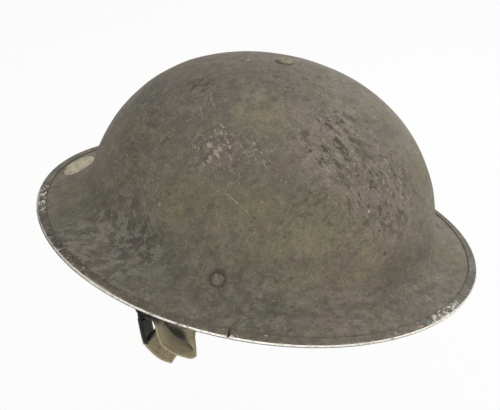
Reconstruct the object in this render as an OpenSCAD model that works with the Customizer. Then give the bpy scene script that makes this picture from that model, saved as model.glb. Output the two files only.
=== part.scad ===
// Pressed steel helmet with a wide brim, riveted chinstrap lugs, a fibre and oilcloth liner
// and a webbing chinstrap with a slide buckle.
// Frame: +Z up, front of the helmet towards -Y, the wearer's left towards +X.
// The origin is the centre of the rim's mean plane.

/* [Shell] */
// Overall length over the rim band, front to back
shell_length = 305; // [300:1:312]
// Overall width over the rim band
shell_width = 284.2; // [280:0.2:290]
// Height of the crown above the rim's mean plane
crown_height = 114.6; // [112:0.2:120]
// Length of the dome where it meets the brim
dome_length = 239.4; // [238:0.2:243]
// Width of the dome where it meets the brim
dome_width = 200.4; // [199:0.2:204]
// Height of the corner between dome and brim, before it is rounded
corner_height = 7.2; // [6:0.1:9]
// Roundness of the dome seen along its radius, 2 is an ellipse
dome_power = 2.19; // [2.1:0.01:2.3]
// Roundness of the dome seen along its height, 2 is an ellipse
crown_power = 1.99; // [1.9:0.01:2.1]
// Length of the rounding on each side of the corner
flare_length = 14.5; // [12:0.5:18]
// Rise of the rim at front and back, and its fall at the sides
rim_sweep = 2; // [0:0.1:3]
// Thickness of the steel
shell_wall = 1; // [0.8:0.05:1.3]

/* [Rim band] */
// Thickness of the folded strip
band_wall = 0.5; // [0.4:0.05:0.7]
// Depth of each flange, measured inwards from the edge of the shell
band_flange = 5.4; // [4:0.1:7]
// Clearance between strip and shell
band_gap = 0.1; // [0.06:0.01:0.2]
// Width of the open butt joint
butt_gap = 1; // [0.3:0.1:1.5]
// Angle of the butt joint, from the wearer's left towards the back
butt_angle = 7; // [0:1:40]

/* [Crown fastener] */
// Diameter of the screw's head
crown_head_d = 12; // [10:0.5:14]
// Thickness of the screw's head
crown_head_h = 1.6; // [1.2:0.1:2.4]
// Diameter of the screw's shank
crown_shank_d = 5; // [4:0.5:6]
// Diameter of the two washers
washer_d = 18; // [16:0.5:20]
// Thickness of the fibre washer between shell and liner
spacer_h = 3; // [2.4:0.1:4]
// Thickness of the washer above the nut
washer_h = 1; // [0.6:0.1:1.6]
// Width of the nut across its flats
nut_flats = 9; // [8:0.5:11]
// Height of the nut
nut_h = 3.6; // [3:0.2:5]

/* [Liner] */
// Length of the fibre headband, outside
headband_length = 208; // [205:1:209]
// Width of the fibre headband, outside
headband_width = 168; // [165:1:169]
// Height of the headband's lower edge
headband_low = 2; // [0:0.5:4]
// Height of the headband's strip
headband_height = 34; // [32:1:38]
// Thickness of the fibre
fibre = 1.6; // [1.2:0.1:2]
// Width of the two crossing fibre bands
crossband_width = 20; // [16:1:24]
// Thickness of the sweatband
sweatband_wall = 1.6; // [1.2:0.1:2]
// Number of tongues
tongue_count = 8; // [6:1:8]
// Thickness of a tongue
tongue_wall = 1.2; // [0.8:0.1:1.6]
// Height of the tongues' upper ends
tongue_top = 86; // [80:1:88]
// Inside radius left between the tongues, across the helmet
tongue_mouth = 30; // [26:1:36]
// Diameter of the lace
lace_d = 2.4; // [2:0.1:3]
// Length of the felt crown pad
pad_length = 80; // [70:1:84]
// Width of the felt crown pad
pad_width = 64; // [56:1:68]
// Thickness of the felt crown pad
pad_height = 7; // [5:0.5:8]
// Diameter of a rubber buffer
buffer_d = 13; // [11:0.5:14]
// Height of the buffers' centres
buffer_z = 25; // [23:0.5:27]
// Angle of the buffers from the side of the headband
buffer_angle = 36; // [30:1:45]

/* [Rivets] */
// Diameter of a lug rivet's head
lug_head_d = 9.6; // [8:0.2:10]
// Thickness of a lug rivet's head
lug_head_h = 0.9; // [0.7:0.1:1.2]
// Diameter of a lug rivet's shank
lug_shank_d = 5; // [4:0.5:5.5]
// Diameter of the small rivets in the liner
small_shank_d = 2.6; // [2:0.2:3]
// Diameter of the small rivets' heads
small_head_d = 7; // [6:0.5:8]
// Thickness of the small rivets' heads
small_head_h = 0.8; // [0.6:0.1:1]

/* [Chinstrap] */
// Width of the webbing
web_width = 19; // [17:0.5:20]
// Thickness of the webbing
web_wall = 1.6; // [1.2:0.1:1.8]
// Thickness of the steel of a lug's plate
lug_wall = 1.5; // [1.2:0.1:2]
// Width of a lug's plate
lug_plate = 15; // [13:0.5:17]
// Diameter of the bars of the lugs and of the buckle
bar_d = 2.8; // [2.4:0.1:3]
// Length of a lug's side arms
lug_arm = 11; // [10:0.5:13]
// Distance between the outer bars of the buckle
buckle_reach = 22.5; // [22:0.5:24]
// Clearance between webbing and metal
web_gap = 0.3; // [0.2:0.05:0.5]

/* [Hidden] */

paint = [0.42, 0.40, 0.36];
fibre_brown = [0.35, 0.24, 0.15];
oilcloth_black = [0.10, 0.10, 0.10];
khaki = [0.58, 0.53, 0.41];
fit_gap = 0.1;
seat_gap = 0.3;
$fn = 48;

// Small vector helpers
function unit(v) = v / norm(v);
function lerp(a, b, f) = a + (b - a) * f;

// A closed body from rings of equal length. The first half of each ring runs along one face
// and the second half back along the other, so the ends are capped by strips between them
function ring_faces(rings, count) = [
    for (i = [0:rings - 2], j = [0:count - 1])
        each let (a = i * count + j, b = i * count + (j + 1) % count)
            [[a, b, b + count], [a, b + count, a + count]]
];
function cap_faces(rings, count) =
    let (top = (rings - 1) * count)
    [for (i = [0:count / 2 - 2])
        each let (a = i, b = i + 1, c = count - 2 - i, d = count - 1 - i)
            [[a, c, b], [a, d, c], [top + a, top + b, top + c], [top + a, top + c, top + d]]];
module loft(rings, count) {
    polyhedron(
        points = [for (ring = rings) each ring],
        faces = concat(ring_faces(len(rings), count), cap_faces(len(rings), count))
    );
}

// Shell outline: for a direction t around the helmet, the outline runs from the crown (s = 0)
// over the dome (s = 1), through the rounded corner (s = 2) and down the brim to its edge (s = 3)
shell_edge = band_wall + band_gap;
rim_y = shell_length / 2 - shell_edge;
rim_x = shell_width / 2 - shell_edge;
dome_y = dome_length / 2;
dome_x = dome_width / 2;
dome_rise = crown_height - corner_height;
dome_sweep = 0.3 * rim_sweep;
k_flare = pow(1 - pow(flare_length / dome_rise, crown_power), 1 / dome_power);

function rim_point(t) = [rim_x * cos(t), rim_y * sin(t), -rim_sweep * cos(2 * t)];
function dome_z(k) = corner_height + dome_rise * pow(max(0, 1 - pow(k, dome_power)), 1 / crown_power);
function dome_point(t, k) = [
    dome_x * k * cos(t), dome_y * k * sin(t), dome_z(k) - dome_sweep * cos(2 * t) * k
];
function flare_start(t) = dome_point(t, k_flare);
function flare_slope(t) = unit(flare_start(t) - dome_point(t, k_flare - 0.001));
function flare_corner(t) = let (p = flare_start(t), d = flare_slope(t))
    p + d * (flare_length / abs(d[2]));
function flare_end(t) = let (p = flare_corner(t)) p + unit(rim_point(t) - p) * flare_length;
function flare_point(t, f) = let (a = flare_start(t), b = flare_corner(t), c = flare_end(t))
    a * (1 - f) * (1 - f) + b * 2 * f * (1 - f) + c * f * f;
function outer_point(t, s) =
    s <= 1 ? dome_point(t, k_flare * sin(90 * s)) :
    s <= 2 ? flare_point(t, s - 1) :
    lerp(flare_end(t), rim_point(t), s - 2);
function outer_normal(t, s) =
    let (s0 = max(s - 0.002, 0.001), s1 = min(s + 0.002, 3))
    unit(cross(outer_point(t + 0.1, s) - outer_point(t - 0.1, s), outer_point(t, s1) - outer_point(t, s0)));
function skin_point(t, s, depth) = outer_point(t, s) + outer_normal(t, s) * depth;

// Rows of the outline, crown first
dome_rows = 13;
flare_rows = 5;
brim_rows = 2;
around = 72;
rows = concat(
    [for (i = [1:dome_rows]) i / dome_rows],
    [for (i = [1:flare_rows]) 1 + i / flare_rows],
    [for (i = [1:brim_rows]) 2 + i / brim_rows]
);
function station(i) = butt_angle + 360 * i / around;

// Lug seats: a flat pad pressed square to the rivet, in the middle of the rounded corner
seat_r = 7;
seat_deep = lug_head_h;
seat_wall = 1.3;
lug_point = flare_point(0, 0.5);
lug_normal = -outer_normal(0, 1.5);
lug_tilt = atan2(abs(lug_normal[0]), abs(lug_normal[2]));
bore_gap = 0.1;

module at_lug(side) {
    mirror([side < 0 ? 1 : 0, 0, 0])
        translate([lug_point[0], 0, lug_point[2]])
            rotate([0, lug_tilt, 0])
                children();
}

module shell_skin() {
    outer = [for (s = rows) [for (i = [0:around - 1]) outer_point(station(i), s)]];
    inner = [for (s = rows) [for (i = [0:around - 1]) skin_point(station(i), s, shell_wall)]];
    count = len(rows);
    half = count * around;
    top = 2 * half;
    low = top + 1;
    points = concat(
        [for (ring = outer) each ring],
        [for (ring = inner) each ring],
        [[0, 0, crown_height], [0, 0, crown_height - shell_wall]]
    );
    faces = concat(
        [for (j = [0:around - 1]) [top, (j + 1) % around, j]],
        [for (j = [0:around - 1]) [low, half + j, half + (j + 1) % around]],
        [for (i = [0:count - 2], j = [0:around - 1])
            each let (a = i * around + j, b = i * around + (j + 1) % around)
                [[a, b, b + around], [a, b + around, a + around]]],
        [for (i = [0:count - 2], j = [0:around - 1])
            each let (a = half + i * around + j, b = half + i * around + (j + 1) % around)
                [[a, b + around, b], [a, a + around, b + around]]],
        [for (j = [0:around - 1])
            each let (a = (count - 1) * around + j, b = (count - 1) * around + (j + 1) % around)
                [[a, b, b + half], [a, b + half, a + half]]]
    );
    polyhedron(points = points, faces = faces);
}

module shell() {
    color(paint)
        difference() {
            union() {
                shell_skin();
                for (side = [-1, 1])
                    at_lug(side)
                        translate([0, 0, -seat_deep - seat_wall]) cylinder(r = seat_r, h = seat_wall + 0.5);
            }
            for (side = [-1, 1])
                at_lug(side) {
                    translate([0, 0, -seat_deep]) cylinder(d = lug_head_d + 1.2, h = 12);
                    translate([0, 0, -8]) cylinder(d = lug_shank_d + 2 * bore_gap, h = 12);
                }
            translate([0, 0, crown_height - 10]) cylinder(d = crown_shank_d + 2 * bore_gap, h = 20);
        }
}

// Rim band: a U-shaped fold over the edge of the shell, butted at one joint
function band_ring(t) =
    let (
        p = rim_point(t),
        e = unit(rim_point(t) - flare_end(t)),
        n = -outer_normal(t, 2.9),
        g = band_gap,
        w = band_wall,
        c = 0.4 * band_gap,
        low = -shell_wall
    )
    [for (q = [
        [-band_flange, g], [g - c, g], [g, g - c], [g, low - g + c], [g - c, low - g],
        [-band_flange, low - g],
        [-band_flange, low - g - w], [g, low - g - w], [g + w, low - g], [g + w, g], [g, g + w],
        [-band_flange, g + w]
    ]) p + e * q[0] + n * q[1]];
function blend_rings(a, b, f) = [for (i = [0:len(a) - 1]) lerp(a[i], b[i], f)];

module rim_band() {
    rings = [for (i = [0:around]) band_ring(station(i))];
    half_joint = butt_gap / 2 / norm(rings[1][2] - rings[0][2]);
    open_rings = concat(
        [blend_rings(rings[0], rings[1], half_joint)],
        [for (i = [1:around - 1]) rings[i]],
        [blend_rings(rings[around], rings[around - 1], half_joint)]
    );
    color(paint) loft(open_rings, len(rings[0]));
}

// Crown fastener and the stack that it clamps, from the top down
stack_top = crown_height - shell_wall - dome_rise * pow(washer_d / 2 / dome_x, dome_power) - fit_gap;
side_band_top = stack_top - spacer_h - fit_gap;
long_band_top = side_band_top - fibre - fit_gap;
lower_washer_top = long_band_top - fibre - fit_gap;
nut_top = lower_washer_top - washer_h - fit_gap;
screw_end = nut_top - nut_h - 0.8;
hole_d = crown_shank_d + 2 * bore_gap;

module crown_screw() {
    slot = 1.2;
    color(paint)
        difference() {
            rotate_extrude()
                polygon([
                    [0, screw_end], [crown_shank_d / 2, screw_end],
                    [crown_shank_d / 2, crown_height + fit_gap],
                    [crown_head_d / 2, crown_height + fit_gap],
                    [crown_head_d / 2, crown_height + 0.6 * crown_head_h],
                    [0.4 * crown_head_d, crown_height + 0.9 * crown_head_h],
                    [0, crown_height + crown_head_h]
                ]);
            translate([-crown_head_d, -slot / 2, crown_height + 0.5 * crown_head_h])
                cube([2 * crown_head_d, slot, 4]);
        }
}

module ring_washer(top, thick) {
    translate([0, 0, top - thick])
        difference() {
            cylinder(d = washer_d, h = thick);
            translate([0, 0, -1]) cylinder(d = hole_d, h = thick + 2);
        }
}

module crown_washer() {
    color(fibre_brown) ring_washer(stack_top, spacer_h);
}

module lower_washer() {
    color("dimgray") ring_washer(lower_washer_top, washer_h);
}

module crown_nut() {
    color("goldenrod")
        translate([0, 0, nut_top - nut_h])
            difference() {
                cylinder(d = nut_flats / cos(30), h = nut_h, $fn = 6);
                translate([0, 0, -1]) cylinder(d = crown_shank_d + 0.1, h = nut_h + 2);
            }
}

// Liner bands: straight beside the headband, then elliptic up to a flat crossing at the crown
headband_x = headband_width / 2;
headband_y = headband_length / 2;
headband_top = headband_low + headband_height;
band_rivet_z = headband_low + 10;

cross_flat = max(washer_d, crossband_width) / 2 + 0.5;
arch_steps = 20;
function arch_point(span, top, off, a, side) =
    let (
        rise = top - headband_top,
        reach = span - cross_flat,
        n = unit([rise * cos(a), reach * sin(a)])
    )
    [side * (cross_flat + reach * cos(a) + off * n[0]), headband_top + rise * sin(a) + off * n[1]];
function arch_side(span, top, off) = concat(
    [[-span - off, headband_low + 1]],
    [for (i = [0:arch_steps]) arch_point(span, top, off, 90 * i / arch_steps, -1)],
    [for (i = [arch_steps:-1:0]) arch_point(span, top, off, 90 * i / arch_steps, 1)],
    [[span + off, headband_low + 1]]
);
module arch(span, top) {
    outer = arch_side(span, top, fibre / 2);
    inner = arch_side(span, top, -fibre / 2);
    back = [for (i = [len(inner) - 1:-1:0]) inner[i]];
    rotate([90, 0, 0])
        linear_extrude(height = crossband_width, center = true) polygon(concat(outer, back));
}

module liner_band_side() {
    span = headband_x + seat_gap + fibre / 2;
    color(fibre_brown)
        difference() {
            arch(span, side_band_top - fibre / 2);
            translate([0, 0, side_band_top - 5]) cylinder(d = hole_d, h = 10);
            translate([0, 0, band_rivet_z]) rotate([0, 90, 0])
                cylinder(d = small_shank_d + 2 * bore_gap, h = 4 * span, center = true);
        }
}

module liner_band_long() {
    span = headband_y + seat_gap + fibre / 2;
    color(fibre_brown)
        difference() {
            rotate([0, 0, 90]) arch(span, long_band_top - fibre / 2);
            translate([0, 0, long_band_top - 5]) cylinder(d = hole_d, h = 10);
            translate([0, 0, band_rivet_z]) rotate([90, 0, 0])
                cylinder(d = small_shank_d + 2 * bore_gap, h = 4 * span, center = true);
        }
}

oval_sides = 80;
function oval(x, y) = [
    for (i = [0:oval_sides - 1]) let (t = 360 * i / oval_sides) [x * cos(t), y * sin(t)]
];
module oval_band(x, y, wall, low, height) {
    translate([0, 0, low])
        linear_extrude(height = height)
            difference() {
                polygon(oval(x, y));
                polygon(oval(x - wall, y - wall));
            }
}

// Buffers stand square to the headband and end short of the shell
buffer_point = [headband_x * cos(buffer_angle), headband_y * sin(buffer_angle)];
buffer_dir = unit([cos(buffer_angle) / headband_x, sin(buffer_angle) / headband_y]);
buffer_high = buffer_z + buffer_d / 2;
buffer_k = pow(1 - pow((buffer_high - corner_height) / dome_rise, crown_power), 1 / dome_power);
buffer_ell = [dome_x * buffer_k - shell_wall, dome_y * buffer_k - shell_wall];
// Distance from the headband to the inside of the shell, from the ellipse's equation
function reach_to(p, d, e) =
    let (
        a = pow(d[0] / e[0], 2) + pow(d[1] / e[1], 2),
        b = 2 * (p[0] * d[0] / pow(e[0], 2) + p[1] * d[1] / pow(e[1], 2)),
        c = pow(p[0] / e[0], 2) + pow(p[1] / e[1], 2) - 1
    )
    (-b + sqrt(b * b - 4 * a * c)) / (2 * a);
buffer_sag = pow(buffer_d / 2, 2) / (2 * dome_x);
buffer_start = seat_gap;
buffer_length = reach_to(buffer_point, buffer_dir, buffer_ell) - buffer_start - seat_gap - buffer_sag;
buffer_turn = atan2(buffer_dir[1], buffer_dir[0]);

module at_buffers() {
    for (sx = [0, 1], sy = [0, 1])
        mirror([sx, 0, 0]) mirror([0, sy, 0])
            translate([buffer_point[0], buffer_point[1], buffer_z])
                rotate([0, 0, buffer_turn]) rotate([0, 90, 0])
                    children();
}

module headband() {
    color(fibre_brown)
        difference() {
            oval_band(headband_x, headband_y, fibre, headband_low, headband_height);
            translate([0, 0, band_rivet_z]) rotate([0, 90, 0])
                cylinder(d = small_shank_d + 2 * bore_gap, h = 4 * headband_x, center = true);
            translate([0, 0, band_rivet_z]) rotate([90, 0, 0])
                cylinder(d = small_shank_d + 2 * bore_gap, h = 4 * headband_y, center = true);
            at_buffers() translate([0, 0, -10]) cylinder(d = small_shank_d + 2 * bore_gap, h = 14);
        }
}

// A small rivet along +Z: inner head below a joint of the given thickness, outer head above it
module small_rivet(joint) {
    rotate_extrude($fn = 32)
        polygon([
            [0, -small_head_h], [0.35 * small_head_d, -small_head_h],
            [small_head_d / 2, -0.4 * small_head_h], [small_head_d / 2, 0],
            [small_shank_d / 2, 0], [small_shank_d / 2, joint], [small_head_d / 2, joint],
            [small_head_d / 2, joint + 0.4 * small_head_h],
            [0.35 * small_head_d, joint + small_head_h], [0, joint + small_head_h]
        ]);
}

rivet_bow = 0.25;
module band_rivets() {
    joint = 2 * fibre + seat_gap + fit_gap + rivet_bow;
    start = fibre + rivet_bow;
    color("goldenrod") {
        for (side = [-1, 1])
            translate([side * (headband_x - start), 0, band_rivet_z])
                rotate([0, side * 90, 0]) small_rivet(joint);
        for (side = [-1, 1])
            translate([0, side * (headband_y - start), band_rivet_z])
                rotate([side * -90, 0, 0]) small_rivet(joint);
    }
}

// The buffers' rivets end in a countersunk head inside the rubber
buffer_sink = 3;
module buffers() {
    color([0.13, 0.12, 0.12])
        at_buffers()
            translate([0, 0, buffer_start])
                difference() {
                    cylinder(d = buffer_d, h = buffer_length);
                    translate([0, 0, -1]) cylinder(d = small_shank_d + 2 * bore_gap, h = 20);
                    translate([0, 0, buffer_sink]) cylinder(d = small_head_d + 0.6, h = 20);
                }
}

module buffer_rivets() {
    start = fibre + rivet_bow;
    color("goldenrod")
        at_buffers() translate([0, 0, -start]) small_rivet(start + buffer_start + buffer_sink + fit_gap);
}

// Sweatband and tongues
sweat_x = headband_x - fibre - small_head_h - 2 * seat_gap;
sweat_y = headband_y - fibre - small_head_h - 2 * seat_gap;
sweat_low = headband_low - 1;

module sweatband() {
    color(oilcloth_black)
        oval_band(sweat_x, sweat_y, sweatband_wall, sweat_low, headband_height);
}

tongue_foot = headband_top - 12;
tongue_x = sweat_x - sweatband_wall - seat_gap;
tongue_y = sweat_y - sweatband_wall - seat_gap;
tongue_end = acos(tongue_mouth / tongue_x);
tongue_rise = (tongue_top - tongue_foot) / sin(tongue_end);
function tongue_half(v) = (180 / tongue_count) * (0.94 - 0.14 * v);
function tongue_point(mid, u, v, depth) =
    let (
        b = tongue_end * v,
        t = mid + tongue_half(v) * u,
        c = cos(b)
    )
    [
        (tongue_x * c - depth * c) * cos(t),
        (tongue_y * c - depth * c) * sin(t),
        tongue_foot + (tongue_rise - depth) * sin(b)
    ];
module tongue(mid) {
    steps = 7;
    side = [-1:0.25:1];
    back = [1:-0.25:-1];
    rings = [for (i = [0:steps])
        let (v = i / steps)
        concat(
            [for (u = side) tongue_point(mid, u, v, tongue_wall)],
            [for (u = back) tongue_point(mid, u, v, 0)]
        )];
    loft(rings, len(rings[0]));
}
module crown_tongues() {
    color(oilcloth_black)
        for (i = [0:tongue_count - 1]) tongue(360 * (i + 0.5) / tongue_count);
}

// Lace: an oval ring drawn round the tongues' ends, with a knot at the back
lace_ratio = tongue_y / tongue_x;
lace_x = tongue_mouth - tongue_wall * cos(tongue_end) - lace_d / 2 - seat_gap;
lace_z = tongue_top;
module lace() {
    sides = 8;
    turns = 32;
    points = [for (i = [0:turns - 1], j = [0:sides - 1])
        let (t = 360 * i / turns, p = 360 * j / sides, r = lace_d / 2)
            [(lace_x + r * cos(p)) * cos(t), (lace_x * lace_ratio + r * cos(p)) * sin(t), lace_z + r * sin(p)]];
    faces = [for (i = [0:turns - 1], j = [0:sides - 1])
        each let (
            a = i * sides + j,
            b = i * sides + (j + 1) % sides,
            c = ((i + 1) % turns) * sides + (j + 1) % sides,
            d = ((i + 1) % turns) * sides + j
        ) [[a, b, c], [a, c, d]]];
    color([0.75, 0.70, 0.58])
        union() {
            polyhedron(points = points, faces = faces);
            translate([0, lace_x * lace_ratio - lace_d, lace_z]) sphere(d = 2.4 * lace_d, $fn = 24);
            for (side = [-1, 1])
                translate([side * lace_d, lace_x * lace_ratio - 1.6 * lace_d, lace_z])
                    rotate([0, side * 155, 0]) cylinder(d = lace_d, h = 16, $fn = 16);
        }
}

// Felt pad under the crown fastener, with a well for the nut
module crown_pad() {
    pad_top = screw_end - seat_gap;
    round_edge = 0.6 * pad_height;
    color([0.36, 0.33, 0.27])
        translate([0, 0, pad_top - pad_height])
            union() {
                linear_extrude(height = pad_height)
                    polygon(oval(pad_width / 2 - round_edge, pad_length / 2 - round_edge));
                translate([0, 0, 0.25 * pad_height])
                    linear_extrude(height = 0.5 * pad_height)
                        polygon(oval(pad_width / 2, pad_length / 2));
            }
}

// Lugs: a plate against the pressed seat, two arms bent inwards and a round bar
lug_inner = -seat_deep - seat_wall - fit_gap;
arm_width = 2.4;
lug_window = web_width + 2;
lug_span = lug_window + 2 * arm_width;
lug_drop = lug_plate / 2 - 2;
arm_turn = 76;
bar_x = lug_drop - lug_arm * cos(arm_turn);
module lug() {
    bar_offset = [lug_drop, 0, lug_inner - lug_wall / 2];
    difference() {
        union() {
            translate([-lug_plate / 2, -lug_plate / 2, lug_inner - lug_wall])
                cube([lug_plate / 2 + lug_drop, lug_plate, lug_wall]);
            translate([lug_drop - 3, -lug_span / 2, lug_inner - lug_wall])
                cube([3, lug_span, lug_wall]);
            translate(bar_offset)
                rotate([0, arm_turn, 0])
                    union() {
                        for (side = [-1, 1])
                            translate([0, side * (lug_window + arm_width) / 2 - arm_width / 2, -lug_wall / 2])
                                cube([lug_arm, arm_width, lug_wall]);
                        rotate([90, 0, 0]) cylinder(d = lug_wall, h = lug_span, center = true);
                        translate([lug_arm, 0, 0])
                            rotate([90, 0, 0]) cylinder(d = bar_d, h = lug_span, center = true);
                    }
        }
        translate([0, 0, lug_inner - 5]) cylinder(d = lug_shank_d + 2 * bore_gap, h = 10);
    }
}
module lug_left() {
    color(paint) at_lug(1) lug();
}
module lug_right() {
    color(paint) at_lug(-1) lug();
}

module lug_rivets() {
    clinch = lug_inner - lug_wall - fit_gap;
    color(paint)
        for (side = [-1, 1])
            at_lug(side)
                rotate_extrude()
                    polygon([
                        [0, clinch - 1], [3.2, clinch - 1], [4.2, clinch - 0.4], [4.2, clinch],
                        [lug_shank_d / 2, clinch], [lug_shank_d / 2, -seat_deep + fit_gap / 2],
                        [lug_head_d / 2, -seat_deep + fit_gap / 2], [lug_head_d / 2, -0.4 * seat_deep],
                        [0.3 * lug_head_d, 0], [0, 0.1]
                    ]);
}

// Place of a lug's bar, in the helmet's frame, for the wearer's left
bar_local = [
    lug_drop + lug_arm * cos(arm_turn), lug_inner - lug_wall / 2 - lug_arm * sin(arm_turn)
];
bar_world = [
    lug_point[0] + bar_local[0] * cos(lug_tilt) + bar_local[1] * sin(lug_tilt),
    0,
    lug_point[2] - bar_local[0] * sin(lug_tilt) + bar_local[1] * cos(lug_tilt)
];

// Webbing turned round a bar along Y and stitched to itself, hanging towards -Z
tab_length = 12;
tab_r = bar_d / 2 + web_gap + web_wall;
tab_turns = 20;
function tab_turn(i) = let (a = 220 * i / tab_turns - 20) [tab_r * cos(a), tab_r * sin(a)];
module strap_tab() {
    rotate([90, 0, 0])
        linear_extrude(height = web_width, center = true)
            difference() {
                polygon(concat(
                    [for (i = [0:tab_turns]) tab_turn(i)],
                    [[-web_wall, -tab_r - 2], [-web_wall, -tab_length],
                     [web_wall, -tab_length], [web_wall, -tab_r - 2]]
                ));
                circle(d = bar_d + 2 * web_gap);
            }
}
tab_lean = 30;
tab_dir = [-sin(tab_lean), 0, -cos(tab_lean)];
module strap_end_left() {
    color(khaki) translate(bar_world) rotate([0, tab_lean, 0]) strap_tab();
}
module strap_end_right() {
    color(khaki) mirror([1, 0, 0]) translate(bar_world) rotate([0, tab_lean, 0]) strap_tab();
}

// Webbing along a smooth curve through chosen points, each point [place, direction of width]
function curve(a, b, c, d, f) =
    ((2 * b) + (c - a) * f + (2 * a - 5 * b + 4 * c - d) * f * f + (3 * b - a - 3 * c + d) * f * f * f) / 2;
function curve_at(list, i, f, pick) =
    let (last = len(list) - 1)
    curve(
        list[max(i - 1, 0)][pick], list[i][pick], list[min(i + 1, last)][pick], list[min(i + 2, last)][pick], f
    );
web_steps = 4;
web_ease = 8;
function smooth(list, pick) = concat(
    [for (i = [0:len(list) - 2], k = [0:web_steps - 1]) curve_at(list, i, k / web_steps, pick)],
    [list[len(list) - 1][pick]]
);
module webbing(route) {
    places = smooth(route, 0);
    widths = smooth(route, 1);
    last = len(places) - 1;
    rings = [for (i = [0:last])
        let (
            t = unit(places[min(i + 1, last)] - places[max(i - 1, 0)]),
            square = min(1, i / web_ease, (last - i) / web_ease),
            w = unit(widths[i] - t * (widths[i] * t) * square) * web_width / 2,
            n = unit(cross(t, w)) * web_wall / 2
        )
        [places[i] + w + n, places[i] + w - n, places[i] - w - n, places[i] - w + n]];
    loft(rings, 4);
}

// The folded part of the strap lies in a plane tilted with the cheek
fold_x = 81;
fold_z = -60;
fold_tilt = 7;
fold_width = [cos(fold_tilt), 0, sin(fold_tilt)];
function fold_place(y, z) = [
    fold_x - (z - fold_z) * sin(fold_tilt), y, fold_z + (z - fold_z) * cos(fold_tilt)
];
function folded(y, z) = [fold_place(y, z), fold_width];

// Buckle: two outer bars, a middle bar and two side rails
buckle_y = -46.4;
buckle_z = -50;
buckle_lean = 20;
buckle_up = [-sin(buckle_lean), cos(buckle_lean)];
buckle_out = [-cos(buckle_lean), -sin(buckle_lean)];
middle_bar = 3.6;
rail = 2.8;
buckle_width = web_width + 1.8 + 2 * rail;
wrap_r = bar_d / 2 + web_gap + web_wall / 2;
function on_bar(along, turn) =
    let (
        c = [buckle_y, buckle_z] + buckle_up * along,
        p = c + buckle_out * wrap_r * cos(turn) + buckle_up * wrap_r * sin(turn)
    )
    folded(p[0], p[1]);
module strap_buckle() {
    color([0.08, 0.08, 0.08])
        translate(fold_place(buckle_y, buckle_z))
            rotate([0, -fold_tilt, 0]) rotate([buckle_lean, 0, 0])
                union() {
                    for (z = [-buckle_reach / 2, middle_bar, buckle_reach / 2])
                        translate([0, 0, z]) rotate([0, 90, 0])
                            cylinder(d = bar_d, h = buckle_width, center = true);
                    for (side = [-1, 1])
                        translate([side * (buckle_width - rail) / 2, 0, 0])
                            cube([rail, 0.8 * bar_d, buckle_reach], center = true);
                }
}

strap_join = tab_length + seat_gap;
left_join = bar_world + tab_dir * strap_join;
y_wide = [0, 1, 0];
left_route = [
    [left_join, y_wide],
    [left_join + tab_dir * 5, y_wide],
    [[84.5, -7, -29.5], y_wide],
    [[79.5, -16, -39], y_wide],
    [[77, -22.5, -47], y_wide],
    [[77.5, -20.5, -53], [0.45, 0.9, 0]],
    [[79.5, -14.5, -57], [0.85, 0.5, 0.1]],
    folded(-8.4, -59.5),
    folded(-12, -62.8),
    folded(-18, -63),
    folded(-25, -62.6),
    folded(-31.5, -60),
    folded(-36, -54),
    folded(-38.4, -47.5),
    folded(-42.5, -43.2),
    on_bar(middle_bar, 80),
    on_bar(middle_bar, 30),
    on_bar(middle_bar, -10),
    on_bar(-buckle_reach / 2, 10),
    on_bar(-buckle_reach / 2, -50),
    folded(-39, -66.2),
    folded(-33, -69.4),
    folded(-27, -70.8),
    folded(-21, -70.8)
];
module strap_left() {
    color(khaki) webbing(left_route);
}

top_bar = [buckle_y, buckle_z] + buckle_up * buckle_reach / 2;
top_bar_place = fold_place(top_bar[0], top_bar[1]);
right_tab_turn = 35;
right_tab_dir = [0, -sin(right_tab_turn), cos(right_tab_turn)];
right_start = top_bar_place + right_tab_dir * (tab_length - 1);
right_join = [-left_join[0], left_join[1], left_join[2]];
right_dir = [-tab_dir[0], 0, tab_dir[2]];
right_route = [
    [right_join, -y_wide],
    [right_join + right_dir * 5, -y_wide],
    [[-84.5, -7, -29], [0, -0.95, 0.3]],
    [[-81, -22, -34], [0, -0.75, 0.66]],
    [[-72, -44, -36], [0, -0.35, 0.94]],
    [[-54, -66, -36], [0, 0, 1]],
    [[-28, -82, -35], [0, 0, 1]],
    [[4, -90, -33], [0, 0, 1]],
    [[34, -89, -31], [0, 0, 1]],
    [[58, -81, -28], [0.3, -0.1, 0.95]],
    [[73, -70, -26], [0.8, -0.2, 0.5]],
    [right_start + right_tab_dir * 5, fold_width],
    [right_start, fold_width]
];
module strap_right() {
    color(khaki)
        union() {
            webbing(right_route);
            translate(top_bar_place)
                rotate([0, -fold_tilt, 0]) rotate([right_tab_turn, 0, 0]) mirror([0, 0, 1])
                    rotate([0, 0, 90]) strap_tab();
        }
}

shell();
rim_band();
crown_screw();
crown_washer();
lower_washer();
crown_nut();
liner_band_side();
liner_band_long();
headband();
sweatband();
crown_tongues();
lace();
crown_pad();
buffers();
buffer_rivets();
band_rivets();
lug_left();
lug_right();
lug_rivets();
strap_end_left();
strap_end_right();
strap_left();
strap_right();
strap_buckle();
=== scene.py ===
"""Looks for a wide-brimmed pressed steel helmet with a fibre liner and a webbing chinstrap.

Sizes are in millimetres and meshes in metres. The frame is the CAD's: +Z up, the front of the helmet
towards -Y, the wearer's left towards +X, and the origin in the middle of the rim's plane.
"""

import logging
from dataclasses import dataclass, field
from enum import Enum
from functools import partial
from math import acos, atan2, cos, degrees, hypot, pi, radians, sin, sqrt
from typing import Iterable, Optional, Sequence

import bpy
import numpy as np
from mathutils import Matrix, Vector, noise


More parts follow.
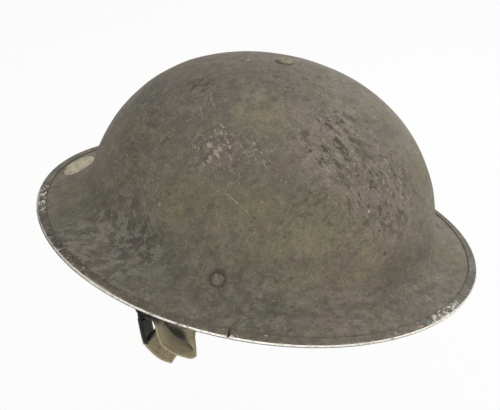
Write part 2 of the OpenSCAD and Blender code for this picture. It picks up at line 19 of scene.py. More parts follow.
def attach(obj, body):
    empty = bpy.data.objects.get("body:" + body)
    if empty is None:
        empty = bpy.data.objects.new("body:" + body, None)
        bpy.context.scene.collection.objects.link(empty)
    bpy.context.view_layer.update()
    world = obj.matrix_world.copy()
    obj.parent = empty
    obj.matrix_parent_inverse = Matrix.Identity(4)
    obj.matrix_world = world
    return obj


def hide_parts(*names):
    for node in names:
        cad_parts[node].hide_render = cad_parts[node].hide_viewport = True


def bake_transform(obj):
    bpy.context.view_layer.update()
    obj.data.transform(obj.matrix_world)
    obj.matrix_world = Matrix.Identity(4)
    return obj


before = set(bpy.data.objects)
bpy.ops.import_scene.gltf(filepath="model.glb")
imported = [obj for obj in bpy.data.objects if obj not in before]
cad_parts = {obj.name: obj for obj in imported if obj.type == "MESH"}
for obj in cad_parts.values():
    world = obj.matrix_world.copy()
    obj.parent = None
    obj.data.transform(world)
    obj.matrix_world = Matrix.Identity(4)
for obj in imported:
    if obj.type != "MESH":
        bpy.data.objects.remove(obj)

LOG = logging.getLogger("helmet")
MM = 0.001
HELMET, CHINSTRAP = "helmet", "chinstrap"
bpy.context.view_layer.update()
EASED = {"interpolation_type": "SMOOTHSTEP"}
Point = tuple[float, float, float]
Array = np.ndarray
Faces = list[list[int]]
Solid = tuple[Array, Faces]
Mapped = tuple[Array, Faces, Array]
Socket = bpy.types.NodeSocket
Material = bpy.types.Material
Object = bpy.types.Object


# Colours and nodes

def srgb(code: str) -> tuple[float, float, float, float]:
    """An sRGB hex colour as linear RGBA.

    Args:
        code: a colour such as "#6E6858".

    Returns:
        Linear red, green and blue from 0 to 1, and an alpha of 1.
    """
    parts = [int(code[i:i + 2], 16) / 255 for i in (1, 3, 5)]
    red, green, blue = (p / 12.92 if p <= 0.04045 else ((p + 0.055) / 1.055) ** 2.4 for p in parts)
    return red, green, blue, 1.0


def add_node(tree: bpy.types.NodeTree, kind: str, inputs: Optional[dict] = None, out: int | str = 0,
             **settings: object) -> Optional[Socket]:
    """Adds one node.

    Args:
        tree: the node tree that gets it.
        kind: its type's name, after ShaderNode.
        inputs: socket name or number to a value, or to the output that feeds it.
        out: the output that is wanted.
        **settings: the node's own properties.

    Returns:
        The wanted output, where the node has one.
    """
    node = tree.nodes.new("ShaderNode" + kind)
    for key, value in settings.items():
        setattr(node, key, value)
    for key, value in (inputs or {}).items():
        if isinstance(value, Socket):
            tree.links.new(value, node.inputs[key])
        else:
            node.inputs[key].default_value = value
    return node.outputs[out] if node.outputs else None


class Tone(str, Enum):
    """Tones of the helmet's paint and of what shows through it."""

    OLIVE = "#78735A"
    PALE_OLIVE = "#8A846A"
    BROWN = "#6A6154"
    PURPLE = "#70665F"
    PALE_PURPLE = "#857B73"
    GREY_GREEN = "#5C5E54"
    DARK = "#49443B"
    RUST = "#6F5243"
    ORANGE_RUST = "#A07B57"
    DUST = "#A39C86"
    SCUFF = "#8B8376"
    PRIMER = "#B9B4A8"
    STEEL = "#C9C7C1"
    CREAM = "#C6BCA2"


(OLIVE, PALE_OLIVE, BROWN, PURPLE, PALE_PURPLE, GREY_GREEN, DARK, RUST, ORANGE_RUST, DUST, SCUFF, PRIMER,
 STEEL, CREAM) = Tone


class Layers:
    """A finish built up in layers: base, stains, wear, then what the fingers feel.

    Places and sizes are in millimetres. A layer changes the colour, the roughness, the share of bare
    metal or the height, which ends as a bump.
    """

    def __init__(self, name: str, base: str, roughness: float, own_place: bool = False) -> None:
        """Starts a material.

        Args:
            name: its name.
            base: sRGB hex of the base colour.
            roughness: roughness of the base.
            own_place: whether places are the mesh's "place" values, not the object's.
        """
        self.material = bpy.data.materials.new(name)
        self.material.use_nodes = True
        self.material.diffuse_color = srgb(base)
        self.tree = self.material.node_tree
        self.tree.nodes.clear()
        self.add = partial(add_node, self.tree)
        if own_place:
            self.where = self.add("Attribute", out="Vector", attribute_name="place")
        else:
            place = self.add("TexCoord", out="Object")
            self.where = self.add("VectorMath", {0: place, "Scale": 1 / MM}, operation="SCALE")
        self.colour: Socket | tuple = srgb(base)
        self.roughness: Socket | float = roughness
        self.metal: Optional[Socket] = None
        self.height: Optional[Socket] = None
        self.warps: dict[tuple[float, float], Socket] = {}

    def warped(self, reach: float, size: float) -> Socket:
        """The place, pushed about by a noise, so that what uses it gets ragged edges.

        Args:
            reach: how far a place is pushed, at most.
            size: size of the noise.

        Returns:
            The pushed place.
        """
        if (reach, size) not in self.warps:
            push = self.add("TexNoise", {"Vector": self.where, "Scale": 1 / size, "Detail": 3.0, "Roughness": 0.6},
                            "Color")
            centred = self.add("VectorMath", {0: push, 1: (0.5, 0.5, 0.5)}, operation="SUBTRACT")
            scaled = self.add("VectorMath", {0: centred, "Scale": 2.5 * reach}, operation="SCALE")
            self.warps[reach, size] = self.add("VectorMath", {0: self.where, 1: scaled}, operation="ADD")
        return self.warps[reach, size]

    def blots(self, size: float, low: float, high: float, seed: float = 0.0, detail: float = 4.0,
                 along: Optional[Point] = None, stretch: float = 1.0, rough: float = 0.55) -> Socket:
        """A mask of blots, from 0 to 1.

        Args:
            size: size of a blot.
            low: noise below this is 0.
            high: noise above this is 1.
            seed: moves the pattern.
            detail: finer copies that are added.
            along: direction in which the blots are drawn out.
            stretch: how many times longer they are along it.
            rough: strength of the finer copies.

        Returns:
            The mask.
        """
        turn = (0.0, 0.0, 0.0)
        if along:
            first = Vector(along).normalized()
            second = first.cross(Vector((0.31, 0.17, 0.93))).normalized()
            turn = tuple(Matrix((first, second, first.cross(second))).transposed().to_euler())
        drawn = self.add("Mapping", {"Vector": self.where, "Location": (17.3 * seed, 5.1 * seed, 9.7 * seed),
                                     "Rotation": turn, "Scale": (stretch, 1.0, 1.0)}, vector_type="TEXTURE")
        grain = self.add("TexNoise", {"Vector": drawn, "Scale": 1 / size, "Detail": detail, "Roughness": rough})
        return self.add("MapRange", {0: grain, 1: low, 2: high}, **EASED)

    def spot(self, centre: Point, radius: float, soft: float = 0.8, ragged: float = 0.0) -> Socket:
        """A mask that is 1 near a place and falls to 0 at a radius.

        Args:
            centre: the place.
            radius: where the mask reaches 0.
            soft: share of the radius over which it falls.
            ragged: how far its edge wanders.

        Returns:
            The mask.
        """
        where = self.warped(ragged, 3.0 * ragged) if ragged else self.where
        away = self.add("VectorMath", {0: where, 1: centre}, "Value", operation="DISTANCE")
        return self.add("MapRange", {0: away, 1: radius, 2: radius * (1 - soft)}, **EASED)

    def stroke(self, start: Point, end: Point, width: float, out: Point) -> Socket:
        """A mask along a straight scratch that tapers to its ends and breaks up here and there.

        Args:
            start: one end, on the surface.
            end: the other end.
            width: full width in the middle.
            out: direction out of the surface there, so that the scratch follows its curve.

        Returns:
            The mask.
        """
        first, last = Vector(start), Vector(end)
        run = last - first
        side = run.cross(Vector(out)).normalized()
        middle = self.add("VectorMath", {0: self.warped(0.5, 5.0), 1: (first + last) / 2}, operation="SUBTRACT")
        across = self.add("VectorMath", {0: middle, 1: side}, "Value", operation="DOT_PRODUCT")
        apart = self.add("Math", {0: across}, operation="ABSOLUTE")
        line = self.add("MapRange", {0: apart, 1: width / 2, 2: 0.1 * width}, **EASED)
        away = self.add("VectorMath", {0: middle}, "Value", operation="LENGTH")
        taper = self.add("MapRange", {0: away, 1: run.length / 2, 2: run.length / 5})
        return self.within(self.within(line, taper), self.blots(2.5, 0.38, 0.55, seed=run.length))

    def within(self, mask: Socket, area: Socket) -> Socket:
        """A mask kept to where another one is."""
        return self.add("Math", {0: mask, 1: area}, operation="MULTIPLY")

    def tint(self, mask: Socket, colour: str, strength: float = 1.0) -> None:
        """Lays a colour where the mask is, over what is there.

        Args:
            mask: where it goes.
            colour: sRGB hex.
            strength: how well it covers.
        """
        cover = self.add("Math", {0: mask, 1: strength}, operation="MULTIPLY", use_clamp=True)
        self.colour = self.add("Mix", {0: cover, 6: self.colour, 7: srgb(colour)}, 2, data_type="RGBA")

    def shade(self, mask: Socket, at_none: float, at_full: float) -> None:
        """Makes the colour lighter or darker by a factor that follows a mask.

        Args:
            mask: what the factor follows.
            at_none: factor where the mask is 0.
            at_full: factor where it is 1.
        """
        factor = self.add("MapRange", {0: mask, 3: at_none, 4: at_full})
        self.colour = self.add("Mix", {0: 1.0, 6: self.colour, 7: factor}, 2, data_type="RGBA",
                               blend_type="MULTIPLY")

    def polish(self, mask: Socket, roughness: float, strength: float = 1.0) -> None:
        """Gives a roughness where the mask is.

        Args:
            mask: where it goes.
            roughness: the roughness there.
            strength: share of it.
        """
        cover = self.add("Math", {0: mask, 1: strength}, operation="MULTIPLY", use_clamp=True)
        self.roughness = self.add("Mix", {0: cover, 2: self.roughness, 3: roughness}, data_type="FLOAT")

    def bare(self, mask: Socket, colour: str, roughness: float) -> None:
        """Lays bare metal open, once in a finish.

        Args:
            mask: where the coat is gone.
            colour: sRGB hex of the metal.
            roughness: its roughness.
        """
        self.tint(mask, colour)
        self.polish(mask, roughness)
        self.metal = mask

    def raise_by(self, mask: Socket, height: float) -> None:
        """Adds to the height.

        Args:
            mask: what the height follows.
            height: millimetres where the mask is 1, negative for a pit.
        """
        part = self.add("Math", {0: mask, 1: height}, operation="MULTIPLY")
        self.height = part if self.height is None else self.add("Math", {0: self.height, 1: part}, operation="ADD")

    def weave(self, across: float, along: float) -> Socket:
        """A mask of a plain weave or braid, 1 on top of a yarn and 0 in the hollow between yarns.

        Args:
            across: pitch of the yarns that run along.
            along: pitch of the yarns that run across.

        Returns:
            The mask.
        """
        place = self.add("SeparateXYZ", {0: self.warped(0.12, 2.0)}).node.outputs
        waves = []
        for axis, pitch in (("X", across), ("Y", along)):
            turned = self.add("Math", {0: place[axis], 1: pi / pitch}, operation="MULTIPLY")
            waves.append(self.add("Math", {0: turned}, operation="SINE"))
        rib = self.add("Math", {0: waves[1]}, operation="ABSOLUTE")
        both = self.add("Math", {0: self.within(*waves), 1: 0.35, 2: rib}, operation="MULTIPLY_ADD")
        return self.add("MapRange", {0: both, 1: 0.1, 2: 1.1}, **EASED)

    def stitch_line(self, axis: str, at: float, start: float, end: float) -> None:
        """Sews one straight row of thread through a strip.

        Args:
            axis: "X" where the row runs along the strip, "Y" where it runs across.
            at: where the row lies, measured on the other way.
            start: where it starts.
            end: where it ends.
        """
        place = self.add("SeparateXYZ", {0: self.where}).node.outputs
        fixed, running = (place["X"], place["Y"]) if axis == "X" else (place["Y"], place["X"])
        off = self.add("Math", {0: fixed, 1: at}, operation="SUBTRACT")
        row = self.add("MapRange", {0: self.add("Math", {0: off}, operation="ABSOLUTE"), 1: 0.5, 2: 0.25}, **EASED)
        # A stitch is 2.4 mm long and dips at each end
        turned = self.add("Math", {0: running, 1: 2 * pi / 2.4}, operation="MULTIPLY")
        wave = self.add("Math", {0: turned}, operation="SINE")
        dash = self.add("MapRange", {0: wave, 1: -0.7, 2: -0.2}, **EASED)
        inside = self.within(self.add("Math", {0: running, 1: start}, operation="GREATER_THAN"),
                             self.add("Math", {0: running, 1: end}, operation="LESS_THAN"))
        seam = self.within(row, inside)
        self.raise_by(seam, -0.25)
        # The sunk row is darkened as painted shade in its groove
        self.shade(seam, 1.0, 0.7)
        thread = self.within(self.within(row, dash), inside)
        self.tint(thread, "#B8AA8C", 0.8)
        self.raise_by(thread, 0.35)

    def stitch_box(self, half: float, start: float, end: float) -> None:
        """Sews a box of thread through a strip.

        Args:
            half: half its width.
            start: where it starts along the strip.
            end: where it ends.
        """
        for side in (-half, half):
            self.stitch_line("X", side, start, end)
        for at in (start, end):
            self.stitch_line("Y", at, -half, half)

    def done(self, **shader: float) -> Material:
        """Joins the layers to the shader.

        Args:
            **shader: constants for the shader's own sockets, with _ for a space.

        Returns:
            The material.
        """
        inputs = {key.replace("_", " "): value for key, value in shader.items()}
        inputs |= {"Base Color": self.colour, "Roughness": self.roughness}
        if self.metal is not None:
            inputs["Metallic"] = self.metal
        if self.height is not None:
            inputs["Normal"] = self.add("Bump", {"Height": self.height, "Distance": MM, "Strength": 1.0})
        self.add("OutputMaterial", {"Surface": self.add("BsdfPrincipled", inputs)})
        return self.material


# Meshes

def mesh_piece(name: str, solid: Solid, material: Material, crease: float = 60.0, **fields: Array) -> Object:
    """A smooth mesh object.

    Args:
        name: its name.
        solid: its corners in millimetres, one row each, and the corner numbers of each face.
        material: its finish.
        crease: angle in degrees above which an edge stays sharp.
        **fields: values for each corner, which its material reads by their name.

    Returns:
        The object, linked to the scene.
    """
    mesh = bpy.data.meshes.new(name)
    mesh.from_pydata([tuple(p) for p in np.asarray(solid[0], float) * MM], [], [tuple(f) for f in solid[1]])
    mesh.validate()
    for key, values in fields.items():
        kind, part = ("FLOAT_VECTOR", "vector") if values.ndim == 2 else ("FLOAT", "value")
        mesh.attributes.new(key, kind, "POINT").data.foreach_set(part, values.astype(np.float32).ravel())
    mesh.shade_smooth()
    mesh.set_sharp_from_angle(angle=radians(crease))
    mesh.materials.append(material)
    piece = bpy.data.objects.new(name, mesh)
    bpy.context.scene.collection.objects.link(piece)
    return piece


def settle(piece: Object, body: str, slot: str, *nodes: str) -> Object:
    """Attaches a piece to what it rides on and hides the CAD nodes that it stands for.

    Args:
        piece: the piece.
        body: the CAD body that it moves with, or "" where it is not attached to one.
        slot: a material slot's name; not used.
        *nodes: the CAD nodes.

    Returns:
        The piece.
    """
    if body:
        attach(piece, body)
    if nodes:
        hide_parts(*nodes)
    LOG.info("%s: %d faces, for %s", piece.name, len(piece.data.polygons), ", ".join(nodes) or "detail")
    return piece


def net(rows: int, columns: int, closed_columns: bool = True, closed_rows: bool = False) -> Faces:
    """The quads of a net of corners, counted row by row.

    Args:
        rows: number of rows.
        columns: corners in a row.
        closed_columns: whether each row is a ring.
        closed_rows: whether the last row joins the first.

    Returns:
        The quads.
    """
    quads = []
    for i in range(rows if closed_rows else rows - 1):
        below, above = i * columns, (i + 1) % rows * columns
        for j in range(columns if closed_columns else columns - 1):
            k = (j + 1) % columns
            quads.append([below + j, below + k, above + k, above + j])
    return quads


def flipped(faces: Faces) -> Faces:
    """The same faces, seen from the other side."""
    return [face[::-1] for face in faces]


def tube_ends(rows: int, columns: int) -> Faces:
    """The two end faces of a tube made of rings, for the number of rings and of corners in a ring."""
    return [list(range(columns - 1, -1, -1)), [(rows - 1) * columns + j for j in range(columns)]]


def ovals(sizes: Iterable[tuple], around: int) -> Array:
    """Level rings of corners about the axis, one after another.

    Args:
        sizes: half width, half length and height of each ring.
        around: corners in a ring.

    Returns:
        The corners.
    """
    turn = np.linspace(0, 2 * np.pi, around, endpoint=False)
    return np.concatenate([np.stack([x * np.cos(turn), y * np.sin(turn), np.full(around, z)], 1)
                           for x, y, z in sizes])


def lathe(profile: Sequence[tuple[float, float]], around: int) -> Solid:
    """A turned shape about +Z.

    Args:
        profile: radius and height of each corner, from the axis to the axis.
        around: corners in a turn.

    Returns:
        The shape.
    """
    inner = [(r, r, z) for r, z in profile if r > 1e-6]
    points = np.concatenate([ovals(inner, around), [[0, 0, profile[0][1]], [0, 0, profile[-1][1]]]])
    faces, low, last = net(len(inner), around), len(points) - 2, (len(inner) - 1) * around
    for j in range(around):
        k = (j + 1) % around
        faces += [[low, k, j], [low + 1, last + j, last + k]]
    return points, faces


def placed(points: Array, matrix: Matrix) -> Array:
    """Points moved by a 4 by 4 matrix in millimetres."""
    m = np.array(matrix)
    return points @ m[:3, :3].T + m[:3, 3]


def join_parts(parts: Iterable[Solid]) -> Solid:
    """Several shapes as one.

    Args:
        parts: the shapes.

    Returns:
        All their corners and faces.
    """
    points, faces, count = [], [], 0
    for part_points, part_faces in parts:
        points.append(part_points)
        faces += [[count + i for i in face] for face in part_faces]
        count += len(part_points)
    return np.concatenate(points), faces


def soft_noise(points: Array, size: float, seed: float) -> Array:
    """A gentle noise at each point, from about -0.5 to 0.5, with waves of a size and a seed that moves it."""
    return np.array([noise.noise(Vector(p) / size + Vector((seed, 2.3 * seed, -seed))) for p in points])


def unit(v: Array) -> Array:
    """Vectors of length 1."""
    return v / np.maximum(np.linalg.norm(v, axis=-1, keepdims=True), 1e-12)


def lengths(points: Array) -> Array:
    """Distance along a row of points, from its first one."""
    return np.concatenate([[0], np.cumsum(np.linalg.norm(np.diff(points, axis=0), axis=-1))])


def headings(points: Array, closed: bool = False) -> Array:
    """The way from row to row of a path or net of points, its last row joined to its first where it is closed."""
    return np.roll(points, -1, 0) - np.roll(points, 1, 0) if closed else np.gradient(points, axis=0)


def strip(middle: Array, width_way: Array, normal: Array, half_thick: float,
          closed: bool = False) -> Mapped:
    """A strip with two faces and rounded edges, from the net of its middle.

    Args:
        middle: rows along the strip, columns across it, and coordinates.
        width_way: unit vector across the strip at each row, or at each corner.
        normal: unit vector square to the strip at each corner.
        half_thick: half of its thickness.
        closed: whether its last row joins the first.

    Returns:
        Corners, faces, and for each corner its column and its row.
    """
    rows, columns = middle.shape[:2]
    if width_way.ndim == 2:
        width_way = np.repeat(width_way[:, None], columns, 1)
    ends = []
    for column, sign in ((columns - 1, 1), (0, -1)):
        m, w, n = middle[:, column], width_way[:, column] * sign, normal[:, column] * sign
        ends.append(np.stack([m + w * half_thick * 0.55 * k + n * half_thick * 0.8 * q
                              for k, q in ((0.8, 0.75), (1.0, 0.0), (0.8, -0.75))], 1))
    thick = normal * half_thick
    ring = np.concatenate([middle + thick, ends[0], (middle - thick)[:, ::-1], ends[1]], 1)
    count = ring.shape[1]
    faces = net(rows, count, closed_rows=closed) + ([] if closed else tube_ends(rows, count))
    column_of = np.concatenate([np.arange(columns), [columns - 1] * 3, np.arange(columns)[::-1], [0] * 3])
    tags = np.stack([np.tile(column_of, rows), np.repeat(np.arange(rows), count)], 1)
    return ring.reshape(-1, 3), flipped(faces), tags


def round_tube(path: Array, radius: float, around: int = 14,
               closed: bool = False) -> Mapped:
    """A round cord along a path.

    Args:
        path: its middle.
        radius: its radius.
        around: corners in a ring.
        closed: whether its end joins its start.

    Returns:
        Corners, faces, and each corner's place round and along the cord.
    """
    count, run, along = len(path), lengths(path), unit(headings(path, closed))
    first = unit(np.cross(along[0], [0.13, 0.21, 0.97]))
    rings, places = [], []
    for i in range(count):
        first = unit(first - along[i] * np.dot(first, along[i]))
        second = np.cross(along[i], first)
        taper = 1.0 if closed else min(1.0, 0.35 + 0.65 * min(i, count - 1 - i) / 2)
        for j in range(around):
            a = 2 * pi * j / around
            rings.append(path[i] + radius * taper * (cos(a) * first + sin(a) * second))
            places.append((radius * a, run[i], 0))
    faces = net(count, around, closed_rows=closed) + ([] if closed else tube_ends(count, around))
    return np.array(rings), faces, np.array(places)


def apply_modifiers(piece: Object) -> None:
    """Turns a piece's modifiers into its mesh.

    Args:
        piece: the piece.
    """
    shaped = bpy.data.meshes.new_from_object(piece.evaluated_get(bpy.context.evaluated_depsgraph_get()))
    piece.modifiers.clear()
    piece.data = shaped


# Marks of use on the paint

@dataclass(frozen=True)
class Stain:
    """A broad patch where the paint has another tone: repainting, grease, rubbing or rust haze."""

    colour: str
    centre: Point
    radius: float
    strength: float


@dataclass(frozen=True)
class Wear:
    """An area full of small flaked or rubbed marks, drawn out along one direction."""

    colour: str
    centre: Point
    radius: float
    along: Point
    size: float
    stretch: float
    low: float
    high: float
    strength: float
    depth: float = 0.0


@dataclass(frozen=True)
class Scratch:
    """A single scratch, lighter or darker than the paint."""

    colour: str
    start: Point
    end: Point
    width: float
    out: Point
    strength: float


@dataclass(frozen=True)
class Pit:
    """A small flaw: a rust spot, a chip or a spot weld."""

    colour: str
    centre: Point
    radius: float
    depth: float


def marks(kind: type, *rows: tuple) -> tuple:
    """Marks of one kind, one for each row of its values."""
    return tuple(kind(*row) for row in rows)


# Finishes

@dataclass(frozen=True)
class Finish:
    """What every finish has: a name, a base colour and roughness, its layers and the shader's constants."""

    name: str
    base: str
    roughness: float
    own_place: bool = False
    shader: tuple[tuple[str, float], ...] = ()

    def lay(self, coat: Layers) -> None:
        """Lays the finish's own layers.

        Args:
            coat: the layers.
        """

    def material(self) -> Material:
        """The finished material."""
        coat = Layers(self.name, self.base, self.roughness, self.own_place)
        self.lay(coat)
        return coat.done(**dict(self.shader))


@dataclass(frozen=True)
class BrushedPaint(Finish):
    """Dull olive lead paint, brushed on pressed steel: chalky, and worn to a mottle of brown and grey.

    The eye sees tones that drift over a hand's width, a finger-sized mottle, grit as fine as sand, and
    flakes down to the darker steel.
    """

    name: str = "brushed_paint"
    base: str = "#6E6759"
    roughness: float = 0.72
    shader: tuple[tuple[str, float], ...] = (("Specular_IOR_Level", 0.35),)
    stains: tuple[Stain, ...] = ()
    wear: tuple[Wear, ...] = ()
    scratches: tuple[Scratch, ...] = ()
    pits: tuple[Pit, ...] = ()

    def lay(self, coat: Layers) -> None:
        """Lays the tones, the marks of use and the grit.

        Args:
            coat: the layers.
        """
        coat.tint(coat.blots(48, 0.46, 0.58, seed=1, detail=6), PURPLE, 0.55)
        coat.tint(coat.blots(30, 0.5, 0.6, seed=2, detail=6), OLIVE, 0.45)
        for stain in self.stains:
            area = coat.spot(stain.centre, stain.radius, soft=0.6, ragged=0.34 * stain.radius)
            coat.tint(area, stain.colour, stain.strength)
        # Patches from a thumb's width down to a pencil's, where one coat is rubbed to the next
        coat.tint(coat.blots(17, 0.5, 0.56, seed=3, detail=7, rough=0.62), PURPLE, 0.45)
        coat.tint(coat.blots(12, 0.53, 0.57, seed=17, detail=6, rough=0.6), BROWN, 0.35)
        coat.tint(coat.blots(9, 0.54, 0.6, seed=4, detail=8, rough=0.68), PALE_OLIVE, 0.32)
        coat.shade(coat.blots(6.5, 0.4, 0.6, seed=11, detail=7, rough=0.7), 0.89, 1.1)
        scuffs = coat.within(coat.blots(5, 0.52, 0.58, seed=5, detail=8, rough=0.74),
                             coat.blots(36, 0.44, 0.54, seed=15))
        coat.tint(scuffs, SCUFF, 0.5)
        smears = coat.within(coat.blots(3.6, 0.53, 0.58, seed=12, detail=7, along=(-0.5, 0.6, 0.6), stretch=1.8,
                                           rough=0.7), coat.blots(26, 0.45, 0.54, seed=13))
        coat.tint(smears, DARK, 0.42)
        coat.raise_by(smears, -0.04)
        for mark in self.wear:
            area = coat.spot(mark.centre, mark.radius, soft=0.6, ragged=0.25 * mark.radius)
            drawn = {"seed": mark.size, "along": mark.along, "stretch": mark.stretch, "detail": 5, "rough": 0.65}
            flakes = coat.within(coat.blots(mark.size, mark.low, mark.high, **drawn), area)
            coat.tint(flakes, mark.colour, mark.strength)
            if mark.depth:
                lips = coat.within(coat.blots(mark.size, mark.low - 0.035, mark.low, **drawn), area)
                coat.tint(lips, SCUFF, 0.55 * mark.strength)
                # The flake's own tone again, so that it covers the inner side of its lip
                coat.tint(flakes, mark.colour, mark.strength)
                coat.raise_by(flakes, -mark.depth)
        for mark in self.scratches:
            line = coat.stroke(mark.start, mark.end, mark.width, mark.out)
            coat.tint(line, mark.colour, mark.strength)
            coat.raise_by(line, -0.06)
        # Grit in the paint: real grains are 0.1 to 0.3 mm, drawn at about 1 mm so that they show
        grit = coat.blots(1.0, 0.35, 0.65, seed=6, detail=3, rough=0.7)
        coat.shade(grit, 0.82, 1.16)
        coat.shade(coat.blots(2.1, 0.36, 0.64, seed=14, detail=4, rough=0.65), 0.94, 1.06)
        coat.tint(coat.within(coat.blots(1.7, 0.62, 0.68, seed=7, detail=3),
                              coat.blots(22, 0.48, 0.56, seed=16)), DUST, 0.55)
        coat.tint(coat.blots(1.7, 0.68, 0.74, seed=8, detail=2), DARK, 0.7)
        coat.raise_by(grit, 0.05)
        coat.raise_by(coat.blots(3.4, 0.3, 0.7, seed=9), 0.1)
        coat.polish(coat.blots(22, 0.45, 0.65, seed=10), self.roughness - 0.12, 0.8)
        for mark in self.pits:
            hole = coat.spot(mark.centre, mark.radius, soft=0.6, ragged=0.45 * mark.radius)
            coat.tint(hole, mark.colour, 0.9)
            coat.raise_by(hole, -mark.depth)


